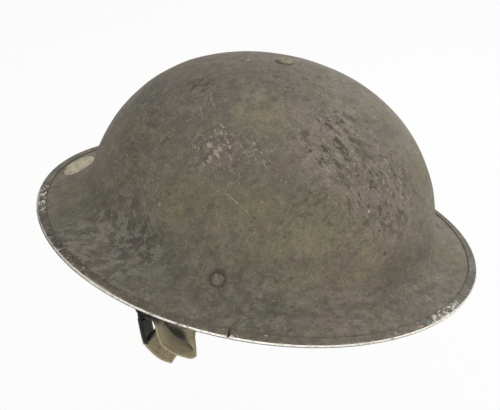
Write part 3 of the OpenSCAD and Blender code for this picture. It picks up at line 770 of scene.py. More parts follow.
@dataclass(frozen=True)
class ShellPaint(BrushedPaint):
    """The paint of the shell's outside, with its own stains, wear, scratches and flaws."""

    name: str = "shell_paint"
    stains: tuple[Stain, ...] = marks(
        Stain, (PURPLE, (50, -45, 93), 34, 0.7), (PURPLE, (82, -14, 70), 30, 0.7), (PURPLE, (64, -76, 46), 32, 0.45),
        (PURPLE, (12, -10, 114), 36, 0.55), (PALE_PURPLE, (58, 38, 90), 36, 0.6), (PURPLE, (60, 76, 62), 34, 0.6),
        (PALE_OLIVE, (54, 0, 99), 26, 0.45), (OLIVE, (93, -32, 38), 42, 0.75), (OLIVE, (94, 22, 38), 46, 0.75),
        (OLIVE, (76, 63, 50), 28, 0.6), (BROWN, (88, -58, 26), 24, 0.5), (GREY_GREEN, (36, -75, 84), 22, 0.75),
        (GREY_GREEN, (90, -60, 10), 22, 0.7), (GREY_GREEN, (104, -40, 4), 34, 0.6),
        (GREY_GREEN, (70, -100, 5), 34, 0.65), (GREY_GREEN, (101, 34, 11), 24, 0.55), (PURPLE, (112, -84, 0), 20, 0.6),
        (OLIVE, (118, 16, 3), 16, 0.5), (PURPLE, (74, 99, 6), 24, 0.6), (PURPLE, (44, 120, 6), 24, 0.55),
        (PALE_OLIVE, (-4, 134, 5), 26, 0.3), (DARK, (91, -52, 14), 13, 0.5), (DARK, (60, -68, 68), 32, 0.22),
        # The DARK stains at heights of 2 to 5 darken the brim broadly
        (DARK, (124, 4, 2), 30, 0.2), (GREY_GREEN, (116, 30, 4), 36, 0.5), (DARK, (98, 72, 5), 34, 0.28),
        (DARK, (66, 104, 5), 34, 0.25), (DARK, (22, 132, 5), 44, 0.5), ("#5E573F", (-8, 137, 5), 34, 0.8),
        ("#5E5641", (66, -78, 47), 28, 0.58), (BROWN, (24, -6, 110), 30, 0.35), (PALE_OLIVE, (50, 95, 48), 24, 0.35),
        (DARK, (100, -70, 2), 30, 0.2), (PALE_OLIVE, (92, 40, 26), 34, 0.4), (PALE_OLIVE, (72, 76, 30), 28, 0.5),
        (GREY_GREEN, (38, 39, 102), 6, 0.7), (GREY_GREEN, (62, 44, 83), 7, 0.7), (PURPLE, (-60, 30, 80), 40, 0.5),
        (OLIVE, (-80, -30, 50), 44, 0.6), (GREY_GREEN, (-110, 40, 6), 40, 0.5), (OLIVE, (0, 100, 60), 36, 0.45),
        (BROWN, (-40, -100, 30), 40, 0.5))
    wear: tuple[Wear, ...] = marks(
        Wear, (SCUFF, (54, 46, 88), 38, (-0.1, 0.75, -0.65), 6.0, 1.5, 0.5, 0.56, 0.66),
        ("#A79F93", (54, 46, 88), 36, (-0.1, 0.75, -0.65), 2.4, 1.4, 0.56, 0.61, 0.45),
        ("#48412F", (54, 48, 89), 29, (-0.1, 0.75, -0.65), 4.6, 2.6, 0.525, 0.565, 0.8, 0.1),
        (PALE_PURPLE, (50, 78, 66), 36, (-0.2, 0.5, -0.85), 5.5, 2.2, 0.48, 0.56, 0.55),
        ("#48412F", (50, 78, 66), 36, (-0.1, 0.4, -0.9), 3.4, 3.2, 0.535, 0.58, 0.7, 0.08),
        ("#A79F93", (48, 82, 62), 34, (-0.1, 0.4, -0.9), 2.4, 1.6, 0.57, 0.62, 0.5),
        (DARK, (42, -46, 99), 17, (-0.5, 0.75, 0.3), 3.2, 2.4, 0.51, 0.56, 0.7, 0.06),
        (DARK, (60, -62, 64), 34, (0.2, 0.9, 0.3), 4.4, 1.8, 0.53, 0.58, 0.5, 0.05),
        (DARK, (12, 10, 113), 40, (0.3, 0.9, 0.0), 3.4, 1.8, 0.54, 0.59, 0.6, 0.05),
        (DUST, (84, -16, 66), 26, (0.3, 0.6, -0.7), 2.6, 1.6, 0.6, 0.68, 0.6),
        ("#B8AF9B", (74, -20, 78), 17, (0.5, 0.7, -0.5), 2.4, 1.5, 0.55, 0.59, 0.75),
        ("#B3AA97", (74.4, 4, 81), 15, (0.5, 0.7, -0.5), 2.2, 1.4, 0.57, 0.61, 0.65),
        (DUST, (62, -8, 92), 30, (0.4, 0.9, 0.0), 2.0, 1.4, 0.6, 0.68, 0.55),
        (DUST, (66, 42, 82), 26, (-0.1, 0.75, -0.65), 2.2, 1.5, 0.6, 0.68, 0.6),
        (DARK, (92, -78, 5), 54, (-0.5, 0.85, 0), 9.0, 1.3, 0.48, 0.58, 0.45),
        ("#8B877E", (96, -72, 5), 54, (-0.5, 0.85, 0), 6.0, 1.3, 0.49, 0.57, 0.7),
        ("#7D7B72", (116, -14, 4), 40, (-0.3, 0.95, 0), 6.0, 1.2, 0.5, 0.6, 0.7),
        ("#57514A", (118, 22, 3), 40, (-0.6, 0.75, 0), 9.0, 1.4, 0.46, 0.58, 0.5),
        ("#857F74", (114, 34, 4), 32, (-0.6, 0.75, 0), 5.0, 1.6, 0.52, 0.6, 0.7),
        (RUST, (114, -78, 0), 26, (-0.5, 0.85, 0.1), 5.5, 1.8, 0.55, 0.66, 0.55),
        (OLIVE, (20, 130, 6), 40, (-0.9, 0.3, 0), 7.0, 1.6, 0.46, 0.56, 0.5),
        ("#544D48", (34, 124, 6), 46, (-0.8, 0.55, 0), 4.4, 2.0, 0.5, 0.55, 0.6, 0.03),
        (PALE_PURPLE, (92, 76, 6), 36, (-0.5, 0.85, 0), 5.0, 2.0, 0.49, 0.56, 0.6),
        (PALE_OLIVE, (88, 40, 44), 50, (0.1, 0.9, 0.4), 2.2, 1.5, 0.55, 0.62, 0.55),
        (DARK, (-50, -50, 90), 44, (0.5, 0.6, 0.2), 3.8, 2.2, 0.56, 0.64, 0.6, 0.07),
        (DARK, (-90, 40, 30), 50, (0.1, 0.9, 0.4), 4.2, 1.8, 0.57, 0.66, 0.5, 0.05),
        (RUST, (-70, 100, 5), 44, (0.8, 0.5, 0), 4.2, 1.8, 0.58, 0.68, 0.5),
        (DARK, (0, 110, 50), 50, (0.9, 0.1, 0.4), 3.4, 1.8, 0.57, 0.66, 0.5, 0.05))
    scratches: tuple[Scratch, ...] = marks(
        Scratch, (PRIMER, (51.8, -39.4, 94), (63, -32, 87.6), 1.1, (0.5, -0.35, 0.8), 0.6),
        (PRIMER, (43.8, -36, 100.1), (58.9, -25.6, 92.9), 0.9, (0.5, -0.3, 0.8), 0.55),
        (DUST, (59, -33, 91), (74, -22, 80), 1.0, (0.65, -0.3, 0.7), 0.35),
        (PRIMER, (89, -7, 58), (92, 11, 49), 0.9, (0.9, 0, 0.4), 0.65),
        (PRIMER, (87, 9, 60), (89, 20, 55), 0.8, (0.9, 0.1, 0.4), 0.6),
        (DUST, (66, -23, 87), (76, -7, 79), 0.9, (0.7, -0.15, 0.7), 0.4),
        (DUST, (80, -23, 70), (82, -10, 69), 0.8, (0.85, -0.15, 0.5), 0.4),
        (PRIMER, (75, -1, 80), (70, 4, 86), 0.9, (0.8, 0, 0.6), 0.5),
        (DUST, (50, -5, 102), (46, -2, 104), 1.0, (0.45, 0, 0.9), 0.5),
        (DARK, (82, 36, 61), (73, 51, 67), 0.8, (0.8, 0.35, 0.5), 0.4),
        (DARK, (51, 65, 81), (60, 75, 62), 1.6, (0.6, 0.55, 0.6), 0.55),
        (DUST, (120, 6, 3), (118, 0, 4), 0.9, (0.3, 0, 1), 0.5),
        ("#1C1A17", (133, 17.7, -0.3), (147, 19.2, -2.9), 3.4, (0.25, 0, 0.97), 1.0),
        (PRIMER, (-60, -30, 88), (-74, -6, 79), 1.1, (-0.6, -0.2, 0.75), 0.5),
        (PRIMER, (-86, 20, 60), (-90, 44, 44), 0.9, (-0.9, 0.2, 0.4), 0.5),
        (DARK, (-30, 88, 80), (-10, 100, 66), 1.0, (-0.1, 0.75, 0.65), 0.5))
    pits: tuple[Pit, ...] = marks(
        Pit, ("#5F4436", (63, 74, 59), 1.9, 0.15), ("#6B4C3E", (62, 77, 58.5), 1.5, 0.05),
        (PRIMER, (64.5, 75, 56.5), 1.3, 0.0), (DARK, (63, 84, 45), 1.4, 0.15), (DARK, (65, 34, 85), 1.7, 0.2),
        (DARK, (68, 94, 11), 1.3, 0.2), (DARK, (63, 90, 31), 1.7, 0.2), (DUST, (56, 60, 80), 1.1, 0.1),
        (DARK, (98, -43, 10), 1.1, 0.15), (DUST, (88, -45, 39), 1.0, 0.0), (RUST, (29, 81, 82), 2.2, 0.1),
        (DUST, (114, 2, 5), 1.0, 0.0), (DARK, (11, -25, 112), 2.4, 0.12), (DUST, (9, -22, 112.5), 1.4, 0.0),
        (RUST, (102, -88, 2), 1.8, 0.1), (DARK, (-70, 30, 75), 1.6, 0.2), (RUST, (-84, -40, 48), 2.2, 0.15),
        (DARK, (-100, 50, 14), 1.6, 0.2), (RUST, (-20, 104, 58), 2.0, 0.1))

    def lay(self, coat: Layers) -> None:
        """Lays the paint, the plain cream patch worn at its edges, and dirt round the rivets and the band.

        Args:
            coat: the layers.
        """
        super().lay(coat)
        place = coat.add("Mapping", {"Vector": coat.warped(1.4, 7.0), "Location": (-4, -137.4, 4),
                                     "Rotation": (0, 0, radians(-2.4)), "Scale": (18.8, 7.4, 30)},
                         vector_type="TEXTURE")
        away = coat.add("VectorMath", {0: place}, "Value", operation="LENGTH")
        oval = coat.add("MapRange", {0: away, 1: 1.04, 2: 0.94}, **EASED)
        coat.tint(oval, CREAM, 0.92)
        coat.tint(coat.within(oval, coat.blots(7, 0.42, 0.6, seed=31, detail=7, rough=0.65)), "#9A9078", 0.75)
        coat.tint(coat.within(oval, coat.blots(2.4, 0.55, 0.64, seed=32, detail=6)), "#6E6552", 0.6)
        coat.shade(coat.within(oval, coat.blots(1.1, 0.35, 0.65, seed=33)), 1.0, 1.1)
        coat.raise_by(oval, 0.08)
        for side in (1, -1):
            coat.tint(coat.spot(tuple(lug_matrix(side).translation), 5.7, soft=0.3, ragged=0.6), DARK, 0.3)
        coat.tint(coat.add("Attribute", out="Fac", attribute_name="join"), "#2E2B26", 0.85)


@dataclass(frozen=True)
class BandPaint(BrushedPaint):
    """The same paint on the folded rim band: scuffed to bright steel on its nose, flaked beside it."""

    name: str = "band_paint"
    base: str = "#524E42"
    stains: tuple[Stain, ...] = marks(
        Stain, (GREY_GREEN, (0, -150, 2), 60, 0.6), (DARK, (70, -130, 1), 40, 0.7), (DARK, (54, -139, 2), 26, 0.8),
        ("#2F2C27", (103, -103, 0), 28, 0.75), (GREY_GREEN, (60, 135, 1), 60, 0.5),
        (GREY_GREEN, (0, 152, 2), 60, 0.4), (BROWN, (138, 30, -1), 40, 0.5))
    wear: tuple[Wear, ...] = marks(
        Wear, ("#1F1D1A", (54, -139, 1.9), 24, (0.91, 0.41, 0), 3.4, 1.5, 0.47, 0.52, 0.85, 0.06),
        ("#CFCBC2", (54, -139, 1.9), 22, (0.91, 0.41, 0), 2.6, 1.8, 0.5, 0.54, 0.95, 0.08),
        ("#CFCBC2", (63, 135, 1.2), 22, (-0.85, 0.5, 0), 2.6, 1.8, 0.5, 0.55, 0.95, 0.08),
        (STEEL, (92, 116, 0), 20, (-0.8, 0.6, 0), 2.6, 2.4, 0.6, 0.66, 0.6, 0.05),
        (PRIMER, (110, -94, -1), 34, (-0.6, 0.8, 0), 2.4, 1.8, 0.57, 0.62, 0.8, 0.08),
        (RUST, (120, -76, -1), 30, (-0.6, 0.8, 0), 3.6, 1.8, 0.56, 0.64, 0.6))
    scratches: tuple[Scratch, ...] = marks(
        Scratch, (PRIMER, (137.2, 19.6, -0.7), (140.2, 25.5, -1.3), 1.6, (0.25, 0, 0.97), 0.9))
    pits: tuple[Pit, ...] = marks(
        Pit, (ORANGE_RUST, (84.5, 119.5, 0.9), 2.1, 0.1), ("#D6D0C4", (131.3, 37.6, 0.1), 1.8, 0.12),
        ("#C9C2B3", (130.1, 41.6, 0.1), 1.4, 0.1), ("#8C8778", (138.2, -9, -1.2), 1.3, 0.1),
        (STEEL, (140.1, 20.6, -1.2), 1.5, 0.05))

    def lay(self, coat: Layers) -> None:
        """Lays the paint, painted shade on the strip's underside, then the metal that shows on the nose, chips beside
        it and dirt in the joint.

        Args:
            coat: the layers.
        """
        super().lay(coat)
        nose = coat.add("Attribute", out="Fac", attribute_name="nose")
        rubbed = coat.add("MapRange", {0: nose, 1: 0.5, 2: 0.67}, **EASED)
        # Painted shade: the underside of the strip is darkened
        coat.tint(coat.add("Attribute", out="Fac", attribute_name="under"), "#2B2925", 0.9)
        coat.bare(coat.within(rubbed, coat.blots(7, 0.3, 0.4, seed=21, detail=6)), "#DAD8D2", 0.5)
        shoulder = coat.add("MapRange", {0: nose, 1: 0.15, 2: 0.5}, **EASED)
        chips = coat.within(shoulder, coat.blots(2.6, 0.53, 0.57, seed=22, detail=5))
        coat.tint(chips, PRIMER, 0.8)
        coat.raise_by(chips, -0.08)
        # Denser chips where the band has been knocked, towards the front on the near side and at the rear
        for centre, reach in (((121, -74, -0.8), 30), ((63, 135, 1.2), 20), ((54, -139, 1.9), 20)):
            knocked = coat.within(coat.within(shoulder, coat.blots(3.2, 0.46, 0.51, seed=23, detail=6)),
                                  coat.spot(centre, reach, soft=0.5, ragged=4))
            coat.tint(knocked, "#BFB9AD", 0.85)
        # Dirt in the butt joint, from the flange out over the nose
        for inward in (0.0, 1.2, 2.4, 3.6, 4.8):
            joint = (140.9 - inward, 18.55 - 0.12 * inward, -1.6 + 0.3 * inward)
            coat.tint(coat.spot(joint, 1.0, soft=0.4), "#191714")


@dataclass(frozen=True)
class RivetPaint(BrushedPaint):
    """The same paint on the lug rivets, with dirt in the groove round each raised middle."""

    name: str = "rivet_paint"
    base: str = "#6A6454"
    wear: tuple[Wear, ...] = marks(Wear, (DUST, (104, 0, 9), 12, (1, 0, 0), 2.2, 1.0, 0.5, 0.62, 0.5))

    def lay(self, coat: Layers) -> None:
        """Lays the paint and the dirt.

        Args:
            coat: the layers.
        """
        super().lay(coat)
        for side in (1, -1):
            centre = tuple(lug_matrix(side).translation)
            rings = {0: coat.spot(centre, 5.1, soft=0.12), 1: coat.spot(centre, 3.9, soft=0.2)}
            coat.tint(coat.add("Math", rings, operation="SUBTRACT", use_clamp=True), "#36322A", 0.7)


@dataclass(frozen=True)
class BareSteel(Finish):
    """Rolled steel left bare in the crown: grey, dulled by damp, with rust starting in the pits."""

    name: str = "plated_steel"
    base: str = "#8A8780"
    roughness: float = 0.38
    shader: tuple[tuple[str, float], ...] = (("Metallic", 0.9),)

    def lay(self, coat: Layers) -> None:
        """Lays the damp and the rust.

        Args:
            coat: the layers.
        """
        coat.shade(coat.blots(6, 0.3, 0.7, seed=2), 0.8, 1.15)
        coat.polish(coat.blots(3, 0.45, 0.6, seed=3), 0.6, 0.7)
        rust = coat.blots(2.4, 0.55, 0.64, seed=4, detail=6)
        coat.tint(rust, RUST, 0.75)
        coat.raise_by(rust, 0.06)
        coat.raise_by(coat.blots(0.5, 0.3, 0.7, seed=5), 0.02)


@dataclass(frozen=True)
class TarnishedBrass(Finish):
    """Stamped brass gone brown: bright only where it is rubbed."""

    name: str = "stamped_brass"
    base: str = "#8E7540"
    roughness: float = 0.34
    shader: tuple[tuple[str, float], ...] = (("Metallic", 0.95),)

    def lay(self, coat: Layers) -> None:
        """Lays the tarnish.

        Args:
            coat: the layers.
        """
        coat.tint(coat.blots(4, 0.42, 0.62, seed=2, detail=6), "#5B4A2C", 0.8)
        coat.tint(coat.blots(1.6, 0.6, 0.7, seed=3), "#5F6B4A", 0.45)
        coat.polish(coat.blots(2.2, 0.45, 0.6, seed=4), 0.55, 0.8)
        coat.raise_by(coat.blots(0.7, 0.35, 0.65, seed=5), 0.03)


@dataclass(frozen=True)
class BlackLacquer(Finish):
    """Stove-baked black lacquer on a bent wire buckle, chipped to steel at the corners."""

    name: str = "black_lacquered_steel"
    base: str = "#171615"
    roughness: float = 0.42
    shader: tuple[tuple[str, float], ...] = (("Specular_IOR_Level", 0.25),)

    def lay(self, coat: Layers) -> None:
        """Lays the dull patches and the chipped edges.

        Args:
            coat: the layers.
        """
        coat.shade(coat.blots(3, 0.3, 0.7, seed=1), 0.7, 1.5)
        coat.polish(coat.blots(1.8, 0.45, 0.62, seed=2), 0.6, 0.8)
        edge = coat.add("MapRange", {0: coat.add("NewGeometry", out="Pointiness"), 1: 0.53, 2: 0.6}, **EASED)
        coat.bare(coat.within(edge, coat.blots(1.6, 0.5, 0.58, seed=3)), "#8C8880", 0.4)
        coat.raise_by(coat.blots(0.8, 0.3, 0.7, seed=4), 0.03)


@dataclass(frozen=True)
class FibreBoard(Finish):
    """Vulcanised fibre: pressed cotton board, dark brown-black, hard and faintly glossy, paler at cut edges."""

    name: str = "vulcanised_fibre"
    base: str = "#3A2F28"
    roughness: float = 0.46

    def lay(self, coat: Layers) -> None:
        """Lays the fibres and the handling.

        Args:
            coat: the layers.
        """
        coat.shade(coat.blots(14, 0.35, 0.65, seed=1), 0.75, 1.3)
        coat.tint(coat.blots(1.2, 0.5, 0.75, seed=2, along=(1, 0, 0), stretch=6), "#56463A", 0.5)
        coat.tint(coat.blots(5, 0.58, 0.7, seed=3, detail=6), "#6C5B48", 0.4)
        coat.polish(coat.blots(6, 0.45, 0.62, seed=4), 0.65, 0.8)
        coat.raise_by(coat.blots(0.6, 0.3, 0.7, seed=5), 0.05)


@dataclass(frozen=True)
class OilCloth(Finish):
    """Oilcloth: cotton coated with linseed varnish, black-brown, finely grained and cracked along the folds."""

    name: str = "varnished_oilcloth"
    base: str = "#2E2823"
    roughness: float = 0.4
    shader: tuple[tuple[str, float], ...] = (("Coat_Weight", 0.15), ("Coat_Roughness", 0.3))

    def lay(self, coat: Layers) -> None:
        """Lays the rubbed patches, the cracks about 2 mm apart and the grain.

        Args:
            coat: the layers.
        """
        coat.shade(coat.blots(20, 0.35, 0.65, seed=1), 0.8, 1.35)
        coat.tint(coat.blots(7, 0.52, 0.7, seed=2, detail=6), "#584B3C", 0.5)
        cells = coat.add("TexVoronoi", {"Vector": coat.warped(0.8, 3.0), "Scale": 1 / 1.9}, "Distance",
                         feature="DISTANCE_TO_EDGE")
        crack = coat.add("MapRange", {0: cells, 1: 0.12, 2: 0.0}, **EASED)
        lines = coat.within(crack, coat.blots(12, 0.42, 0.6, seed=3))
        coat.tint(lines, "#7A6B55", 0.55)
        coat.raise_by(lines, -0.08)
        coat.raise_by(coat.blots(0.7, 0.3, 0.7, seed=4), 0.05)
        coat.polish(coat.blots(9, 0.45, 0.62, seed=5), 0.62, 0.8)


@dataclass(frozen=True)
class WoolFelt(Finish):
    """Pressed grey wool felt: no weave, short fibres that catch the light, matted where the head rubs."""

    name: str = "pressed_wool_felt"
    base: str = "#6B6456"
    roughness: float = 0.95
    shader: tuple[tuple[str, float], ...] = (("Sheen_Weight", 0.4), ("Sheen_Roughness", 0.5))

    def lay(self, coat: Layers) -> None:
        """Lays the fibres, drawn coarse so that they show.

        Args:
            coat: the layers.
        """
        coat.shade(coat.blots(7, 0.3, 0.7, seed=1), 0.8, 1.2)
        fibres = coat.blots(0.7, 0.35, 0.65, seed=2, detail=3, along=(0.7, 0.7, 0.1), stretch=5)
        coat.tint(fibres, "#948B79", 0.6)
        coat.tint(coat.blots(0.6, 0.5, 0.7, seed=3, along=(-0.6, 0.8, 0), stretch=6), "#4A453C", 0.6)
        coat.raise_by(fibres, 0.25)
        coat.raise_by(coat.blots(3.0, 0.3, 0.7, seed=4), 0.4)


@dataclass(frozen=True)
class AgedRubber(Finish):
    """Moulded grey rubber, gone hard: dusty bloom and fine cracks."""

    name: str = "moulded_rubber"
    base: str = "#3B3A38"
    roughness: float = 0.7

    def lay(self, coat: Layers) -> None:
        """Lays the bloom and the cracks.

        Args:
            coat: the layers.
        """
        coat.tint(coat.blots(5, 0.4, 0.65, seed=1, detail=5), "#6C6962", 0.6)
        coat.tint(coat.blots(0.9, 0.58, 0.68, seed=2), "#1F1E1D", 0.7)
        coat.raise_by(coat.blots(0.9, 0.5, 0.7, seed=2), -0.08)


@dataclass(frozen=True)
class BraidedLace(Finish):
    """Round braided cotton lace: crossing strands, waxed, with painted shade in the hollows and painted highlight on
    the strands, and patches of dirt.
    """

    name: str = "braided_cotton"
    base: str = "#7C6D55"
    roughness: float = 0.85
    own_place: bool = True
    shader: tuple[tuple[str, float], ...] = (("Sheen_Weight", 0.2),)

    def lay(self, coat: Layers) -> None:
        """Lays the braid, its strands 1.3 and 1.7 mm apart round and along the lace.

        Args:
            coat: the layers.
        """
        braid = coat.weave(1.3, 1.7)
        # The braid's colour is darkened in the hollows and lightened on the strands: painted shade and highlight
        coat.shade(braid, 0.55, 1.25)
        coat.raise_by(braid, 0.3)
        coat.tint(coat.blots(9, 0.5, 0.7, seed=2, detail=5), "#4C4233", 0.6)


@dataclass(frozen=True)
class LinenThread(Finish):
    """Waxed linen thread: pale brown, with the shine of wax where it is pulled tight."""

    name: str = "waxed_linen_thread"
    base: str = "#8B7A58"
    roughness: float = 0.7

    def lay(self, coat: Layers) -> None:
        """Lays the unevenness of the wax."""
        coat.shade(coat.blots(1.5, 0.3, 0.7), 0.7, 1.2)


@dataclass(frozen=True)
class CottonWebbing(Finish):
    """Narrow-woven khaki cotton webbing: thick weft ribs across, a plain selvedge, faded and grimy in use, with
    painted shade where it lies in shadow.
    """

    name: str = "woven_cotton_webbing"
    base: str = "#D0C4A6"
    roughness: float = 0.92
    own_place: bool = True
    shader: tuple[tuple[str, float], ...] = (("Sheen_Weight", 0.3), ("Sheen_Roughness", 0.4))
    half_width: float = 9.5
    stitched: tuple[tuple[float, float], ...] = ()
    painted_shade: tuple[tuple[float, float, float, float], ...] = ()

    def lay(self, coat: Layers) -> None:
        """Lays the weave with painted shade in its hollows and highlight on its ribs, the selvedges, the dirt, the
        painted shade where it lies in shadow, and the stitches.

        Args:
            coat: the layers.
        """
        coat.shade(coat.blots(16, 0.35, 0.65, seed=1), 0.94, 1.12)
        # Ribs 1.6 mm apart, each crossed by warp yarns 1.1 mm apart; their colour is darkened in the hollows and
        # lightened on top as painted shade and highlight
        ribs = coat.weave(1.1, 1.6)
        coat.shade(ribs, 0.86, 1.12)
        coat.raise_by(ribs, 0.25)
        off = coat.add("Math", {0: coat.add("SeparateXYZ", {0: coat.where}, "X")}, operation="ABSOLUTE")
        edge = coat.add("MapRange", {0: off, 1: self.half_width - 1.6, 2: self.half_width}, **EASED)
        coat.tint(edge, "#8A7C60", 0.4)
        coat.tint(coat.blots(7, 0.5, 0.7, seed=2, detail=6), "#8A7D62", 0.4)
        coat.tint(coat.blots(2.5, 0.58, 0.72, seed=3, detail=5), "#D8CDB2", 0.35)
        # Painted shade: near-black patches where the webbing lies in shadow, beside and behind the buckle, in the fold
        # of the doubled strap and under the brim
        for across, at, radius, strength in self.painted_shade:
            coat.tint(coat.spot((across, at, 0), radius, soft=0.4, ragged=3.0), "#191714", strength)
        for start, end in self.stitched:
            coat.stitch_box(self.half_width - 2.2, start, end)


# Shell

@dataclass
class ShellForm:
    """The shell's outline, as the CAD has it: superelliptic dome, rounded corner and sloping brim."""

    rim_x: float = 141.5
    rim_y: float = 151.9
    dome_x: float = 100.2
    dome_y: float = 119.7
    crown: float = 114.6
    corner: float = 7.2
    dome_power: float = 2.19
    crown_power: float = 1.99
    flare: float = 14.5
    sweep: float = 2.0
    wall: float = 1.0

    def __post_init__(self) -> None:
        """Works out where the rounding starts."""
        self.rise = self.crown - self.corner
        self.start = (1 - (self.flare / self.rise) ** self.crown_power) ** (1 / self.dome_power)

    def dome(self, t: Array, k: Array) -> Array:
        """Points on the dome, for directions in radians and shares of the dome's radius."""
        z = self.corner + self.rise * np.maximum(0, 1 - k ** self.dome_power) ** (1 / self.crown_power)
        return np.stack([self.dome_x * k * np.cos(t), self.dome_y * k * np.sin(t),
                         z - 0.3 * self.sweep * np.cos(2 * t) * k], -1)

    def rim(self, t: Array) -> Array:
        """Points on the edge of the shell, for directions in radians."""
        return np.stack([self.rim_x * np.cos(t), self.rim_y * np.sin(t), -self.sweep * np.cos(2 * t)], -1)

    def flare_corner(self, t: Array) -> Array:
        """Where the dome's slope and the brim would meet, for directions in radians."""
        top = self.dome(t, np.full_like(t, self.start))
        slope = unit(top - self.dome(t, np.full_like(t, self.start - 0.001)))
        return top + slope * (self.flare / np.abs(slope[..., 2:3]))

    def flare_end(self, t: Array) -> Array:
        """Where the rounding ends on the brim, for directions in radians."""
        corner = self.flare_corner(t)
        return corner + unit(self.rim(t) - corner) * self.flare

    def outer(self, t: Array, s: Array) -> Array:
        """Points on the outside.

        Args:
            t: directions in radians.
            s: 0 at the crown, 1 where the dome ends, 2 where the brim starts, 3 at the edge.

        Returns:
            The points.
        """
        t, s = np.broadcast_arrays(np.asarray(t, float), np.asarray(s, float))
        dome = self.dome(t, self.start * np.sin(0.5 * np.pi * np.clip(s, 0, 1)))
        top, corner, end = self.dome(t, np.full_like(t, self.start)), self.flare_corner(t), self.flare_end(t)
        f = np.clip(s - 1, 0, 1)[..., None]
        flare = top * (1 - f) ** 2 + corner * 2 * f * (1 - f) + end * f * f
        b = np.clip(s - 2, 0, 1)[..., None]
        brim = end * (1 - b) + self.rim(t) * b
        return np.where(s[..., None] <= 1, dome, np.where(s[..., None] <= 2, flare, brim))

    def inward(self, t: Array, s: Array) -> Array:
        """Unit vectors into the steel, square to the outside.

        Args:
            t: directions in radians.
            s: rows, as for outer.

        Returns:
            The vectors.
        """
        t, s = np.broadcast_arrays(np.asarray(t, float), np.asarray(s, float))
        low, high = np.maximum(s - 0.002, 0.001), np.minimum(s + 0.002, 3)
        return unit(np.cross(self.outer(t + 0.002, s) - self.outer(t - 0.002, s),
                             self.outer(t, high) - self.outer(t, low)))


def lug_matrix(side: int) -> Matrix:
    """Frame of a lug's rivet in millimetres: origin on the shell's outside, +Z out of it; side 1 is the left."""
    place = Matrix.Translation((104.209, 0, 9.475)) @ Matrix.Rotation(atan2(0.7397, 0.673), 4, "Y")
    return place if side > 0 else Matrix.Scale(-1, 4, (1, 0, 0)) @ place


@dataclass
class Shell:
    """The pressed bowl: outside and inside, joined at the edge, with the two pressed rivet seats."""

    form: ShellForm = field(default_factory=ShellForm)
    seat_radius: float = 5.4
    seat_depth: float = 0.9
    join_at: float = 5.9

    def skin(self, depth: float) -> Array:
        """Points of one face of the steel, as it came off the press and out of use.

        Args:
            depth: how far below the outside it lies.

        Returns:
            An array of rows, columns and coordinates.
        """
        # Columns are closest together beside the lugs, rows across the rounded corner
        fine, coarse = np.arange(-8, 8, 0.26), np.linspace(8, 172, 124, endpoint=False)
        turns = np.radians(np.concatenate([fine, coarse, fine + 180, coarse + 180]))
        rows = np.concatenate([np.linspace(0.012, 1, 52, endpoint=False), np.linspace(1, 2, 60, endpoint=False),
                               np.linspace(2, 2.97, 24)])
        s, t = np.meshgrid(rows, turns, indexing="ij")
        ideal = self.form.outer(t, s)
        flat = ideal.reshape(-1, 3)
        beaten = (0.5 * soft_noise(flat, 46, 3.0) + 0.22 * soft_noise(flat, 17, 9.0)).reshape(s.shape)
        beaten = beaten * (np.clip((2.8 - s) / 0.3, 0, 1) * np.clip(s / 0.15, 0, 1))
        return ideal + self.form.inward(t, s) * (depth - beaten)[..., None]

    def seated(self, points: Array, deep: float, radius: float, edge: float) -> Array:
        """Presses the two rivet seats into a skin.

        Args:
            points: the skin's points.
            deep: depth of the flat, below the rivet's plane.
            radius: radius of the flat.
            edge: width of the slope round it.

        Returns:
            The pressed points.
        """
        flat = points.reshape(-1, 3)
        for side in (1, -1):
            here = lug_matrix(side)
            local = placed(flat, here.inverted())
            away = np.hypot(local[:, 0], local[:, 1])
            near = (away < radius + edge) & (np.abs(local[:, 2]) < 15)
            share = np.clip((radius + edge - away) / edge, 0, 1)
            share = share * share * (3 - 2 * share)
            local[:, 2] = np.where(near, local[:, 2] * (1 - share) - deep * share, local[:, 2])
            flat = np.where(near[:, None], placed(local, here), flat)
        return flat.reshape(points.shape)

    def closed(self, points: Array, crown: float) -> Solid:
        """A skin closed at the crown by a fan, with its faces turned down.

        Args:
            points: its rows and columns.
            crown: height of the fan's middle.

        Returns:
            The shape.
        """
        rows, columns = points.shape[:2]
        fan = [[rows * columns, j, (j + 1) % columns] for j in range(columns)]
        return np.concatenate([points.reshape(-1, 3), [[0, 0, crown]]]), net(rows, columns) + fan

    def build(self) -> None:
        """Builds both skins, the inside with the edge of the steel."""
        outer = self.seated(self.skin(0.0), self.seat_depth, self.seat_radius, 0.7)
        steps = np.linalg.norm(np.diff(outer, axis=0), axis=-1)
        to_edge = np.concatenate([np.cumsum(steps[::-1], axis=0)[::-1], np.zeros((1, outer.shape[1]))]) + 0.9
        join = np.clip(1 - np.abs(to_edge - self.join_at) / 0.8, 0, 1).ravel()
        points, faces = self.closed(outer, self.form.crown)
        piece = mesh_piece("shell_outside", (points, flipped(faces)), ShellPaint().material(),
                           join=np.append(join, 0))
        settle(piece, HELMET, "steel_paint", "shell")
        inner = self.seated(self.skin(self.form.wall), self.seat_depth + 1.3, 7.0, 2.5)
        inner = np.concatenate([inner[::2], inner[-1:], outer[-1:]])
        coat = BrushedPaint(
            name="shell_inner_paint", base="#5A5546", roughness=0.78,
            stains=marks(Stain, (DARK, (0, 0, 110), 60, 0.5), (RUST, (30, 20, 108), 26, 0.35),
                         (DARK, (90, 60, 20), 40, 0.4), (DARK, (-90, -50, 20), 44, 0.4)),
            wear=marks(Wear, (RUST, (0, 0, 20), 190, (0.4, 0.8, 0.2), 6.0, 1.6, 0.6, 0.68, 0.55, 0.04)))
        settle(mesh_piece("shell_inside", self.closed(inner, self.form.crown - self.form.wall), coat.material()),
               HELMET, "steel_paint", "shell")


